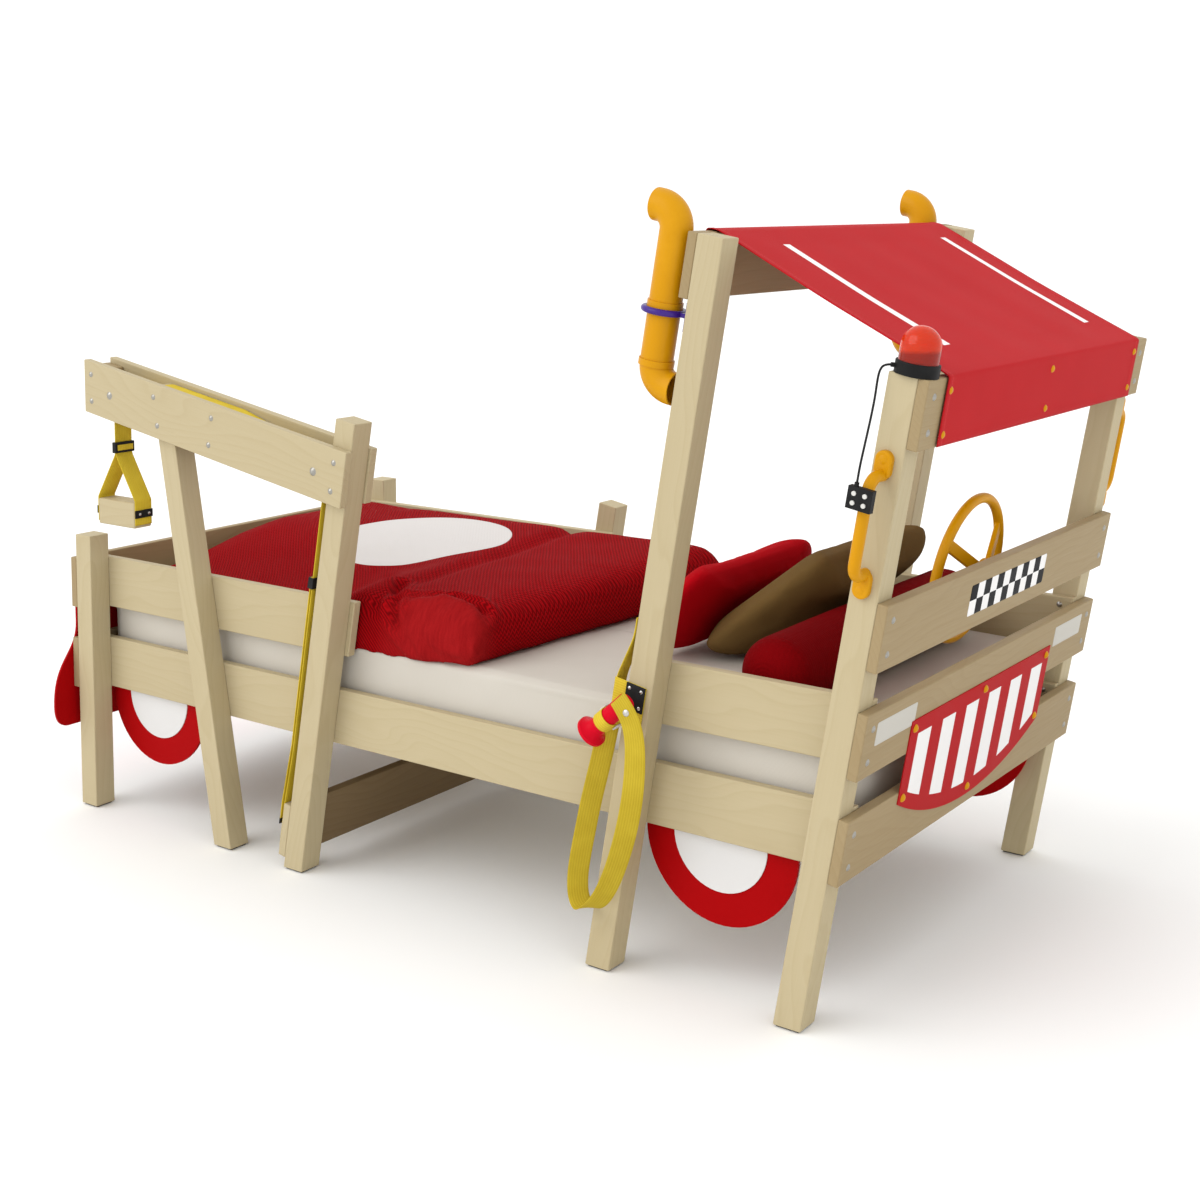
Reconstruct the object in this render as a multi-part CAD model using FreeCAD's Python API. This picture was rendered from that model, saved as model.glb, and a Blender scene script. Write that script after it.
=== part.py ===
import FreeCAD, Part
import math
import os

V = FreeCAD.Vector

# A child's timber bed in the form of a tow truck, in millimetres.
# While it is modelled, X runs from the foot to the cab, Y from the near side to the far side and Z up:
# X is zero at the foot posts' inner face, Y at the near posts' outer face and Z at the floor.
# A leaning frame has n square to a post's +X face, y across the bed and u up the post from the floor.

# Timber stock
POST = 54.0
BOARD = 120.0
THICK = 20.0
EASE = 2.5
LEAN = 10.0
GLIDE = 3.0
GLIDE_INSET = 5.0

# Frame layout
INNER_WIDTH = 916.0
STRUT_X = 468.0
MAST_X = 689.0
REAR_X = 1503.0
FRONT_X = 1913.0
FOOT_HEIGHT = 658.0
MIDDLE_LENGTH = 675.0
MAST_LENGTH = 1006.0
REAR_LENGTH = 1405.0
FRONT_LENGTH = 1181.0
RAIL_Z = 286.0
GUARD_Z = 481.0
GUARD_OVERHANG = 11.0
FRONT_LOW_U = 287.0
FRONT_MIDDLE_U = 481.0
FRONT_TOP_U = 676.0
CROSS_U = 40.0

# Screws
HEAD_R = 6.5
HEAD_RISE = 3.0
SHANK_R = 3.0
SHANK_LENGTH = 45.0
HOLE_CLEAR = 0.2
SCREW_EDGE = 29.5
SIDE_SCREW_EDGE = 18.0
RAIL_SCREW_LOW = 50.0
RAIL_SCREW_HIGH = 15.0
SCREW_INSET = 30.0

# Slatted base and mattress
BEARER = 30.0
BEARER_RISE = 22.0
SLAT_WIDTH = 90.0
SLAT_THICK = 18.0
SLAT_COUNT = 12
SLAT_GAP = 3.0
MATTRESS_LENGTH = 2000.0
MATTRESS_WIDTH = 900.0
MATTRESS_HEIGHT = 150.0
MATTRESS_GAP = 10.0
MATTRESS_CORNER = 45.0
MATTRESS_EDGE = 22.0
REST = 0.3

# Duvet, pillows and bolster
DUVET_START = -30.0
DUVET_LENGTH = 1205.0
DUVET_HEIGHT = 114.0
DUVET_REST = 0.8
DUVET_SKEW = 0.085
DUVET_FAR_GAP = 34.0
DUVET_NEAR_GAP = 4.0
DUVET_SIDE = 34.0
DUVET_FOLDS = 3
DUVET_FOLD_DEPTH = 0.08
DUVET_SECTIONS = 13
DUVET_FOOT_FILL = 0.45
DUVET_HEAD_FILL = 0.8
DUVET_FILL_RISE = 4.5
DUVET_SHOULDER = 0.84
DUVET_ROUND = 0.4
PINCH = 26.0
RED_PILLOW = (220.0, 600.0, 92.0)
RED_PILLOW_X = 1413.0
RED_PILLOW_Y = 605.0
RED_PILLOW_TILT = 60.0
RED_PILLOW_CORNER = 75.0
RED_PILLOW_BELLY = 1.0
OLIVE_PILLOW = (380.0, 560.0, 84.0)
OLIVE_PILLOW_X = 1592.0
OLIVE_PILLOW_Y = 657.0
OLIVE_PILLOW_TILT = 38.0
OLIVE_PILLOW_CORNER = 50.0
OLIVE_PILLOW_BELLY = 1.75
BOLSTER_R = 76.0
BOLSTER_X = 1771.0
BOLSTER_NEAR = 105.0
BOLSTER_FAR = 935.0
BOLSTER_END = 55.0

# Crane
ARM_U = 829.0
ARM_TIP_X = 21.0
ARM_HEEL = 5.0
CHANNEL_DROP = 12.0
TIP_BLOCK = 50.0
MIDDLE_BLOCK = 60.0
MIDDLE_BLOCK_N = -402.0
ROLLER_R = 12.0
ROLLER_RISE = 57.0
TIP_ROLLER_N = -744.0
MAST_ROLLER_GAP = 28.0
AXLE_R = 4.0
AXLE_CLEAR = 0.05
AXLE_CAP_R = 9.0
AXLE_CAP_RISE = 4.0
SIDE_CLEAR = 0.3
WEB = 2.0
WEB_WIDTH = 48.0
CLEAT_U = 16.0
CLEAT_HEIGHT = 120.0
CLEAT_OVERLAP = 100.0
SLIDER_U = 628.0
SLIDER_HEIGHT = 24.0
SLIDER_WALL = 2.5
TAIL_END_U = 92.0
TAIL_GAP = 4.0

# Tow load
BUCKLE_Z = 865.0
BUCKLE_HEIGHT = 25.0
BUCKLE_THICK = 13.0
BUCKLE_RIM = 3.0
SLOT_CLEAR = 0.4
BLOCK_LENGTH = 128.0
BLOCK_WIDTH = 50.0
BLOCK_HEIGHT = 60.0
BLOCK_Z = 694.0
BLOCK_EASE = 4.0
SLING_HEM = 8.0
CLIP_HEIGHT = 18.0
CLIP_THICK = 2.0
CLIP_RISE = 24.0
CLIP_SCREW_SPREAD = 14.0
CLIP_SCREW_R = 4.0
CLIP_SCREW_RISE = 1.6

# Roof cloth and its caps
CLOTH = 2.0
CLOTH_EDGE_GAP = 12.0
CLOTH_BACK_FLAP = 60.0
CLOTH_FRONT_FLAP = 119.0
CLOTH_SAG = 5.0
CLOTH_SAG_R = 3000.0
CLOTH_FOLD_R = 4.0
CAP_R = 8.0
CAP_RISE = 5.0
ROOF_CAP_SPREAD = 450.0
ROOF_CAP_DROPS = (22.0, 98.0)
BACK_CAP_DROP = 35.0

# Periscopes
TUBE_R = 30.5
TUBE_WALL = 3.0
TUBE_BEND = 40.0
TUBE_STAND = 61.0
TUBE_RISE = 62.0
TUBE_DROP = 160.0
TUBE_REACH = 49.0
COLLAR = 2.5
COLLAR_HEIGHT = 12.0
LOW_SEAM_RISE = 76.0
MIRROR_THICK = 2.0
RING_DROP = 39.0
RING_BAR = 6.0
RING_CLEAR = 0.3
RING_SEAT = 1.0
BRACKET_PLATE = 4.0
BRACKET_WIDTH = 40.0
BRACKET_HEIGHT = 53.0
BRACKET_WEB = 20.0
BRACKET_WEB_HEIGHT = 8.0

# Grab handles
HANDLE_DROP = 171.0
HANDLE_SPAN = 172.0
HANDLE_N = -31.0
FAR_HANDLE_N = -16.5
HANDLE_R = 10.5
HANDLE_STAND = 47.5
HANDLE_BEND = 26.0
PAD_LENGTH = 50.0
PAD_R = 15.5
PAD_THICK = 12.0
PAD_SHIFT = 17.5
PAD_CAP_R = 8.0
PAD_CAP_RISE = 2.0

# Control box and its buttons
BOX_WIDTH = 45.0
BOX_HEIGHT = 38.0
BOX_DEPTH = 13.0
BOX_WALL = 2.0
BOX_DROP = 51.0
BOX_GAP = 4.0
GRIP_WALL = 3.0
GRIP_SPAN = 20.0
GRIP_WEB = 14.0
BUTTON_R = 4.0
BUTTON_PITCH_N = 20.0
BUTTON_PITCH_U = 16.0
BUTTON_PROUD = 2.5
BUTTON_FLANGE_R = 5.5
BUTTON_FLANGE = 1.5
BUTTON_CLEAR = 0.1

# Beacon and its cable
BEACON_R = 37.5
BEACON_N = -17.0
BASE_HEIGHT = 22.0
DOME_R = 34.0
DOME_SIDE = 26.0
DOME_WALL = 2.5
LAMP_R = 8.0
LAMP_HEIGHT = 34.0
CABLE_R = 2.0
CABLE_EASE = 0.45
GLAND_R = 4.0
GLAND_LENGTH = 6.5
GLAND_WAY = V(-0.8, -0.6, 0)
BOX_GLAND_N = -42.0

# Steering wheel
WHEEL_RISE = 64.0
WHEEL_STAND = 68.0
WHEEL_R = 141.0
RIM_R = 10.0
HUB_STAND = 30.0
HUB_R = 30.0
HUB_DEPTH = 24.0
SPOKE_WIDTH = 24.0
SPOKE_THICK = 10.0
SPOKE_ANGLES = (30.0, 150.0, 270.0)
SHAFT_R = 8.0
SHAFT_CLEAR = 0.05
BOSS_R = 20.0
BOSS_GAP = 0.5
FLANGE_SIDE = 80.0
FLANGE_THICK = 8.0

# Nozzle, holster and hose webbing
NOZZLE_LENGTH = 108.0
NOZZLE_R = 17.0
FLARE_R = 30.0
FLARE_LENGTH = 26.0
LIP = 6.0
MOUTH_R = 22.0
MOUTH_DEPTH = 14.0
THROAT_OUT = 0.3
THROAT_UP = 0.4
NOZZLE_RISE = 41.5
NOZZLE_STAND = 48.0
NOZZLE_TIP_N = -88.0
NOZZLE_TIP_U = 467.0
HOLSTER_AT = 45.0
HOLSTER_WIDTH = 24.0
HOLSTER_CLEAR = 0.4
STRIP_U = 480.0
STRIP_HEIGHT = 88.0
STRIP_TAIL = 28.0
PLATE_HEIGHT = 50.0
PLATE_WIDTH = 42.0
PLATE_THICK = 3.0
HANGER_TOP_U = 691.0
HANGER_WIDTH = 36.0
HOSE_WIDTH = 40.0
HOSE_TURN = 36.0
HOSE_TURN_POINTS = 5

# Panels
GRILLE_WIDTH = 649.0
GRILLE_TOP_U = 544.0
GRILLE_SIDE = 159.0
GRILLE_BELLY = 76.0
GRILLE_SHIFT = -18.0
GRILLE_THICK = 2.0
GRILLE_CAP_INSET = 17.0
WHEEL_PLATE_R = 163.0
WHEEL_PLATE = 6.0
WHEEL_DROP = 4.0
WHEEL_TAB = 20.0
WHEEL_XS = (147.0, 1704.0)
FAR_WHEEL_XS = (147.0, 1770.0)
DISC_R = 100.0
DISC_THICK = 2.0
TAIL_THICK = 6.0
TAIL_TOP = 560.0
TAIL_WAIST = 440.0
TAIL_HEM = 194.0
TAIL_INSET = 14.0
TAIL_FLARE = 54.0
TAIL_FLARE_Z = 246.0
TAIL_PULL = 0.6
TAIL_HEM_INSET = 38.0
TAIL_HOLE_CLEAR = 1.0
TAIL_CAP_INSET = 110.0

# Places that follow from the sizes above
TILT = math.radians(LEAN)
INNER_Y = POST + THICK
INNER_END = INNER_Y + INNER_WIDTH
OVERALL_Y = INNER_END + THICK + POST
MID_Y = OVERALL_Y / 2
POST_Y = POST / 2
ROOF_BEAM_U = FRONT_LENGTH - BOARD
REAR_BEAM_U = REAR_LENGTH - BOARD
BEARER_Z = RAIL_Z + BEARER_RISE
SLAT_Z = BEARER_Z + BEARER
MATTRESS_Z = SLAT_Z + SLAT_THICK
MATTRESS_X = MATTRESS_GAP - POST
MATTRESS_Y = MID_Y - MATTRESS_WIDTH / 2
BED_TOP = MATTRESS_Z + MATTRESS_HEIGHT
ARM_TOP_U = ARM_U + BOARD
CHANNEL_U = ARM_TOP_U - CHANNEL_DROP
ROLLER_U = ARM_U + ROLLER_RISE
MAST_ROLLER_N = -POST - MAST_ROLLER_GAP
WEB_STEP = REST + WEB / 2
WEB_WRAP = ROLLER_R + WEB_STEP
WEB_Y = (POST - WEB_WIDTH) / 2
RING_U = REAR_BEAM_U - RING_DROP
TUBE_N = -POST - TUBE_STAND
TUBE_TOP_U = REAR_LENGTH + TUBE_RISE
TUBE_BOTTOM_U = RING_U - TUBE_DROP
LOW_SEAM_U = TUBE_BOTTOM_U + LOW_SEAM_RISE
COLLAR_U = RING_U + 2 * RING_BAR - RING_SEAT
HANDLE_HIGH_U = FRONT_LENGTH - HANDLE_DROP
HANDLE_LOW_U = HANDLE_HIGH_U - HANDLE_SPAN
WHEEL_U = FRONT_TOP_U + WHEEL_RISE
BOX_BACK = -HANDLE_STAND - HANDLE_R - BOX_GAP
BOX_FRONT = BOX_BACK - BOX_DEPTH
BOX_U = HANDLE_HIGH_U - BOX_DROP
BOX_TOP_U = BOX_U + BOX_HEIGHT

nodes = {}
screws = []


def leaning(foot_x, angle=LEAN):
    """Placement of a leaning frame whose post has its +X face at foot_x on the floor."""
    return FreeCAD.Placement(V(foot_x, 0, 0), FreeCAD.Rotation(V(0, 1, 0), angle))


FRONT = leaning(FRONT_X)
REAR = leaning(REAR_X)
MAST = leaning(MAST_X)


def moved(shape, frame):
    """A copy of the shape carried into a frame."""
    copy = shape.copy()
    copy.Placement = frame.multiply(copy.Placement)
    return copy


def far(shape):
    """The same piece on the far side of the bed."""
    return shape.mirror(V(0, MID_Y, 0), V(0, 1, 0))


def both(shape):
    """A near piece and its far twin."""
    return [shape, far(shape)]


def box(low, high):
    """A plain block between two corners."""
    size = V(*high) - V(*low)
    return Part.makeBox(size.x, size.y, size.z, V(*low))


def rod(radius, start, end):
    """A round bar from one point to another."""
    along = V(*end) - V(*start)
    return Part.makeCylinder(radius, along.Length, V(*start), along)


def eased(solid, radius=EASE):
    """The solid with all of its edges rounded."""
    return solid.makeFillet(radius, solid.Edges)


def prism(points, push):
    """A flat outline of corners pushed along a vector."""
    outline = Part.makePolygon([V(*p) for p in points] + [V(*points[0])])
    return Part.Face(outline).extrude(V(*push))


def fused(first, *others):
    """One solid from pieces that meet."""
    return first.multiFuse(list(others)).removeSplitter()


def line(start, end):
    return Part.LineSegment(start, end).toShape()


def arc(start, middle, end):
    return Part.Arc(start, middle, end).toShape()


def joined(edges):
    """A wire of edges that meet end to end, in any order."""
    return Part.Wire(Part.__sortEdges__(edges))


def revolved(outline):
    """A solid turned about Z from a closed outline in the XZ plane."""
    return Part.Face(outline).revolve(V(0, 0, 0), V(0, 0, 1), 360)


def dome(radius, rise):
    """A spherical cap that stands on z = 0."""
    ball = (radius * radius + rise * rise) / (2 * rise)
    low = math.degrees(math.asin((ball - rise) / ball))
    return Part.makeSphere(ball, V(0, 0, rise - ball), V(0, 0, 1), low, 90, 360)


def aimed(shape, point, direction):
    """A shape made on z = 0, set at a point with its z along a direction."""
    return moved(shape, FreeCAD.Placement(point, FreeCAD.Rotation(V(0, 0, 1), direction)))


def screw(point, direction, frame=FreeCAD.Placement()):
    """Notes a wood screw whose head stands on a face with this outward direction."""
    screws.append((frame.multVec(V(*point)), frame.Rotation.multVec(V(*direction))))


def drilled(solid, radius=SHANK_R + HOLE_CLEAR):
    """The solid with a hole for each screw that reaches it."""
    holes = []
    for point, direction in screws:
        hole = rod(radius, (0, 0, HEAD_RISE), (0, 0, -SHANK_LENGTH - HEAD_RISE))
        hole = aimed(hole, point, direction)
        if hole.BoundBox.intersect(solid.BoundBox):
            holes.append(hole)
    return solid.cut(holes) if holes else solid


def middle_x(foot_x, z, angle=LEAN):
    """X of a leaning post's middle line at height z."""
    tilt = math.radians(angle)
    return foot_x + z * math.tan(tilt) - POST / 2 / math.cos(tilt)


def corner_arcs(points, radii):
    """Straight runs between points, with a tangent arc of the given radius at each inner point."""
    edges = []
    start = points[0]
    for before, corner, after, radius in zip(points, points[1:], points[2:], radii):
        back = (before - corner).normalize()
        ahead = (after - corner).normalize()
        half = (math.pi - back.getAngle(ahead)) / 2
        enter = corner + back * (radius * math.tan(half))
        leave = corner + ahead * (radius * math.tan(half))
        inward = (back + ahead).normalize()
        edges.append(line(start, enter))
        edges.append(arc(enter, corner + inward * (radius / math.cos(half) - radius), leave))
        start = leave
    edges.append(line(start, points[-1]))
    return edges


def beside(points, radii, shift):
    """Edges of a path in XZ moved sideways by a shift, after its first and last points."""
    sides = [(b - a).normalize().cross(V(0, 1, 0)) for a, b in zip(points, points[1:])]
    track = [points[0] + sides[0] * shift]
    turned = []
    for before, corner, after, left, right, radius in zip(
            points, points[1:], points[2:], sides, sides[1:], radii):
        bisector = (left + right).normalize()
        track.append(corner + bisector * (shift / bisector.dot(left)))
        inward = (before - corner).normalize() + (after - corner).normalize()
        turned.append(radius - shift if bisector.dot(inward) > 0 else radius + shift)
    track.append(points[-1] + sides[-1] * shift)
    return track[0], track[-1], corner_arcs(track, turned)


def band(path, radii, y, width, thick=WEB):
    """Webbing or cloth: a path of (x, z) points with its thickness, pushed across by its width."""
    points = [V(x, y, z) for x, z in path]
    top_start, top_end, top = beside(points, radii, thick / 2)
    low_start, low_end, low = beside(points, radii, -thick / 2)
    outline = joined(top + low + [line(top_start, low_start), line(top_end, low_end)])
    return Part.Face(outline).extrude(V(0, width, 0))


# Posts: the foot posts stand upright, the rest lean; every foot is cut level above its glide.
def leaning_post(foot_x, length, angle=LEAN):
    raw = moved(box((-POST, 0, -POST), (0, POST, length)), leaning(foot_x, angle))
    floor = box((foot_x - length, -POST, -2 * POST), (foot_x + length, 2 * POST, GLIDE))
    return raw.cut(floor)


strut = leaning_post(STRUT_X, ARM_TOP_U + BOARD, -LEAN)
above_channel = box((-ARM_TOP_U, -POST, CHANNEL_U), (POST, 2 * POST, ARM_TOP_U + 4 * BOARD))
nodes["foot_posts"] = both(eased(box((-POST, 0, GLIDE), (0, POST, FOOT_HEIGHT))))
nodes["crane_strut"] = [eased(strut.cut(moved(above_channel, MAST)))]
nodes["crane_mast"] = [eased(leaning_post(MAST_X, MAST_LENGTH))]
nodes["far_middle_post"] = [far(eased(leaning_post(MAST_X, MIDDLE_LENGTH)))]
nodes["rear_cab_posts"] = both(eased(leaning_post(REAR_X, REAR_LENGTH)))
nodes["front_cab_posts"] = both(eased(leaning_post(FRONT_X, FRONT_LENGTH)))


# Felt glides: one under each foot.
def glide(foot_x, width):
    low = (foot_x - width + GLIDE_INSET, GLIDE_INSET, 0)
    return box(low, (foot_x - GLIDE_INSET, POST - GLIDE_INSET, GLIDE))


leaning_foot = POST / math.cos(TILT)
paired_feet = [glide(0, POST)] + [glide(x, leaning_foot) for x in (MAST_X, REAR_X, FRONT_X)]
nodes["foot_glides"] = [glide(STRUT_X, leaning_foot)]
for foot in paired_feet:
    nodes["foot_glides"] += both(foot)


# Side boards: rails and guards lie on the posts' inner faces and are screwed on from the bed's side.
def side_board(start_x, end_x, z):
    """A level board whose two ends are given as functions of the height."""
    low, high = z, z + BOARD
    corners = [(start_x(low), POST, low), (end_x(low), POST, low)]
    corners += [(end_x(high), POST, high), (start_x(high), POST, high)]
    return eased(prism(corners, (0, THICK, 0)))


def foot_end(z):
    return -POST


def mast_side(z):
    return MAST_X + z * math.tan(TILT) + GUARD_OVERHANG


def rear_side(z):
    return REAR_X + z * math.tan(TILT) - leaning_foot


def front_side(z):
    return FRONT_X + z * math.tan(TILT)


nodes["bed_rails"] = both(side_board(foot_end, front_side, RAIL_Z))
nodes["side_guards"] = both(side_board(foot_end, mast_side, GUARD_Z))
nodes["side_guards"] += both(side_board(rear_side, front_side, GUARD_Z))

rail_screws = (RAIL_Z + BOARD - RAIL_SCREW_LOW, RAIL_Z + BOARD - RAIL_SCREW_HIGH)
guard_screws = (GUARD_Z + SIDE_SCREW_EDGE, GUARD_Z + BOARD - SIDE_SCREW_EDGE)


def side_screws(foot_x, angle, heights, sides):
    for z in heights:
        x = middle_x(foot_x, z, angle)
        if "near" in sides:
            screw((x, INNER_Y, z), (0, 1, 0))
        if "far" in sides:
            screw((x, INNER_END, z), (0, -1, 0))


for foot_x, angle, sides in ((0, 0, "near far"), (STRUT_X, -LEAN, "near"), (MAST_X, LEAN, "near far")):
    side_screws(foot_x, angle, rail_screws + guard_screws, sides)
for foot_x in (REAR_X, FRONT_X):
    side_screws(foot_x, LEAN, rail_screws + guard_screws, "near far")

# Foot boards: two level boards across the outer faces of the foot posts.
nodes["foot_boards"] = []
for z in (RAIL_Z, GUARD_Z):
    nodes["foot_boards"].append(eased(box((-POST - THICK, 0, z), (-POST, OVERALL_Y, z + BOARD))))
    for y in (POST_Y, OVERALL_Y - POST_Y):
        screw((-POST - THICK, y, z + SCREW_EDGE), (-1, 0, 0))
        screw((-POST - THICK, y, z + BOARD - SCREW_EDGE), (-1, 0, 0))

# Cab cross boards: three boards and the roof beam on the front posts, one beam behind the rear posts.
nodes["cab_cross_boards"] = []
for u in (FRONT_LOW_U, FRONT_MIDDLE_U, FRONT_TOP_U, ROOF_BEAM_U):
    plank = eased(box((0, 0, u), (THICK, OVERALL_Y, u + BOARD)))
    nodes["cab_cross_boards"].append(moved(plank, FRONT))
    for y in (SCREW_INSET, OVERALL_Y - SCREW_INSET):
        screw((THICK, y, u + SCREW_EDGE), (1, 0, 0), FRONT)
        screw((THICK, y, u + BOARD - SCREW_EDGE), (1, 0, 0), FRONT)
beam = eased(box((-POST - THICK, 0, REAR_BEAM_U), (-POST, OVERALL_Y, REAR_LENGTH)))
nodes["cab_cross_boards"].append(moved(beam, REAR))
for y in (POST_Y, OVERALL_Y - POST_Y):
    screw((-POST - THICK, y, REAR_BEAM_U + SCREW_EDGE), (-1, 0, 0), REAR)
    screw((-POST - THICK, y, REAR_LENGTH - SCREW_EDGE), (-1, 0, 0), REAR)

# Floor cross board: it stands on edge between the mast and the far middle post.
cross_n = (-POST - THICK) / 2
cross = box((cross_n, POST, CROSS_U), (cross_n + THICK, OVERALL_Y - POST, CROSS_U + BOARD))
nodes["floor_cross_board"] = [moved(eased(cross), MAST)]

# Slatted base: a bearer along each rail carries the slats.
bearer_end = front_side(BEARER_Z) - SLAT_GAP
bearer = eased(box((-POST, INNER_Y, BEARER_Z), (bearer_end, INNER_Y + BEARER, SLAT_Z)))
nodes["slatted_base"] = both(bearer)
slat_pitch = (MATTRESS_LENGTH - SLAT_WIDTH) / (SLAT_COUNT - 1)
for i in range(SLAT_COUNT):
    x = MATTRESS_X + i * slat_pitch
    low = (x, INNER_Y + SLAT_GAP, SLAT_Z)
    nodes["slatted_base"].append(eased(box(low, (x + SLAT_WIDTH, INNER_END - SLAT_GAP, MATTRESS_Z))))

# Crane arm: two boards either side of the mast and strut, square to the mast, with blocks between.
def tip_n(u):
    """The arm's tip is cut upright."""
    return (ARM_TIP_X - MAST_X - u * math.sin(TILT)) / math.cos(TILT)


def arm_slice(start_n, end_n, low, high, y, depth):
    corners = [(start_n(low), y, low), (end_n(low), y, low), (end_n(high), y, high), (start_n(high), y, high)]
    return eased(prism(corners, (0, depth, 0)))


def heel_n(u):
    return ARM_HEEL


def tip_block_n(u):
    return tip_n(u) + TIP_BLOCK


block_low = ARM_U + CHANNEL_DROP
tip_block = arm_slice(tip_n, tip_block_n, block_low, CHANNEL_U, 0, POST)
middle_low = (MIDDLE_BLOCK_N - MIDDLE_BLOCK / 2, 0, block_low)
middle_block = eased(box(middle_low, (MIDDLE_BLOCK_N + MIDDLE_BLOCK / 2, POST, CHANNEL_U)))
arm_near = arm_slice(tip_n, heel_n, ARM_U, ARM_TOP_U, -THICK, THICK)
arm_inner = arm_slice(tip_n, heel_n, ARM_U, ARM_TOP_U, POST, THICK)


def strut_n(u):
    """The strut's middle line in the mast's frame."""
    foot = MAST.inverse().multVec(V(middle_x(STRUT_X, 0, -LEAN), 0, 0))
    return foot.x - (u - foot.z) * math.tan(2 * TILT)


for u in (ARM_U + SCREW_EDGE, ARM_TOP_U - SCREW_EDGE):
    for n in (tip_n(u) + TIP_BLOCK / 2, strut_n(u), MIDDLE_BLOCK_N, -POST / 2):
        screw((n, -THICK, u), (0, -1, 0), MAST)
        screw((n, POST + THICK, u), (0, 1, 0), MAST)

# Rollers: each turns on an axle whose caps lie on the outer faces of the arm boards.
axle_hole = AXLE_R + AXLE_CLEAR
axle_holes = []
axles = []
rollers = []
for n in (TIP_ROLLER_N, MAST_ROLLER_N):
    axle_holes.append(rod(axle_hole, (n, -2 * THICK, ROLLER_U), (n, POST + 2 * THICK, ROLLER_U)))
    axle = rod(AXLE_R, (n, -THICK, ROLLER_U), (n, POST + THICK, ROLLER_U))
    cap = dome(AXLE_CAP_R, AXLE_CAP_RISE)
    near_cap = aimed(cap, V(n, -THICK, ROLLER_U), V(0, -1, 0))
    inner_cap = aimed(cap, V(n, POST + THICK, ROLLER_U), V(0, 1, 0))
    axles.append(moved(fused(axle, near_cap, inner_cap), MAST))
    roller = rod(ROLLER_R, (n, SIDE_CLEAR, ROLLER_U), (n, POST - SIDE_CLEAR, ROLLER_U))
    rollers.append(moved(roller.cut(axle_holes[-1]), MAST))
nodes["crane_arm_boards"] = [moved(board.cut(axle_holes), MAST) for board in (arm_near, arm_inner)]
nodes["arm_spacer_blocks"] = [moved(tip_block, MAST), moved(middle_block, MAST)]
nodes["roller_axles"] = axles
nodes["tip_roller"] = [rollers[0]]
nodes["mast_roller"] = [rollers[1]]

# Cleat: a timber block at the foot of the mast that the webbing is led over.
cleat = box((-POST - THICK, 0, CLEAT_U), (-POST, POST, CLEAT_U + CLEAT_HEIGHT))
nodes["mast_cleat"] = [moved(eased(cleat), MAST)]


# Crane webbing: over the tip roller, the strut, the middle block and the mast roller, then down the mast.
def touch_angle(point, centre, side):
    """Direction from a point along the line that just touches the wrap circle of a roller."""
    away = V(centre[0] - point[0], centre[1] - point[1], 0)
    return math.atan2(away.y, away.x) + side * math.asin(WEB_WRAP / away.Length)


over_u = CHANNEL_U + WEB_STEP
strut_edge = (strut_n(CHANNEL_U) - POST / 2 / math.cos(2 * TILT), over_u)
block_edge = (MIDDLE_BLOCK_N + MIDDLE_BLOCK / 2, over_u)
to_tip = touch_angle(strut_edge, (TIP_ROLLER_N, ROLLER_U), -1)
tip_touch = (TIP_ROLLER_N + WEB_WRAP * math.sin(to_tip), ROLLER_U - WEB_WRAP * math.cos(to_tip))
to_mast = touch_angle(block_edge, (MAST_ROLLER_N, ROLLER_U), 1)
web_n = MAST_ROLLER_N + WEB_WRAP
mast_corner = (web_n, block_edge[1] + (web_n - block_edge[0]) * math.tan(to_mast))
cleat_top = CLEAT_U + CLEAT_HEIGHT
cleat_n = -POST - THICK - WEB_STEP
run = [tip_touch, strut_edge, block_edge, mast_corner]
run += [(web_n, cleat_top + BOARD), (cleat_n, cleat_top), (cleat_n, cleat_top - CLEAT_OVERLAP)]
tail_n = web_n - WEB - TAIL_GAP
tail_low_n = cleat_n - 2 * WEB - TAIL_GAP
tail = [(tail_n, SLIDER_U + SLIDER_HEIGHT), (tail_n, 2 * cleat_top)]
tail += [(tail_low_n, cleat_top), (tail_low_n, TAIL_END_U)]
web_run = band(run, (POST, POST, WEB_WRAP, BOARD, BOARD), WEB_Y, WEB_WIDTH)
web_tail = band(tail, (BOARD, BOARD), WEB_Y, WEB_WIDTH)
nodes["crane_webbing"] = [moved(web_run, MAST), moved(web_tail, MAST)]

# Slider: a black sleeve that holds the two layers of webbing together.
sleeve_low = V(tail_n - WEB_STEP, WEB_Y - REST, SLIDER_U)
sleeve_high = V(web_n + WEB_STEP, WEB_Y + WEB_WIDTH + REST, SLIDER_U + SLIDER_HEIGHT)
sleeve_wall = V(SLIDER_WALL, SLIDER_WALL, 0)
sleeve = box(sleeve_low - sleeve_wall, sleeve_high + sleeve_wall).cut(box(sleeve_low, sleeve_high))
nodes["webbing_slider"] = [moved(sleeve, MAST)]

# Tow load: webbing hangs from the tip roller's foot side and ends in a buckle, a sling and a block.
TIP_AXIS = MAST.multVec(V(TIP_ROLLER_N, POST_Y, ROLLER_U))
tow_x = TIP_AXIS.x - WEB_WRAP
buckle_mid = BUCKLE_Z + BUCKLE_HEIGHT / 2
hang_low = (tow_x - WEB / 2, WEB_Y, buckle_mid + WEB)
nodes["hanging_webbing"] = [box(hang_low, (tow_x + WEB / 2, WEB_Y + WEB_WIDTH, TIP_AXIS.z))]

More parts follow.
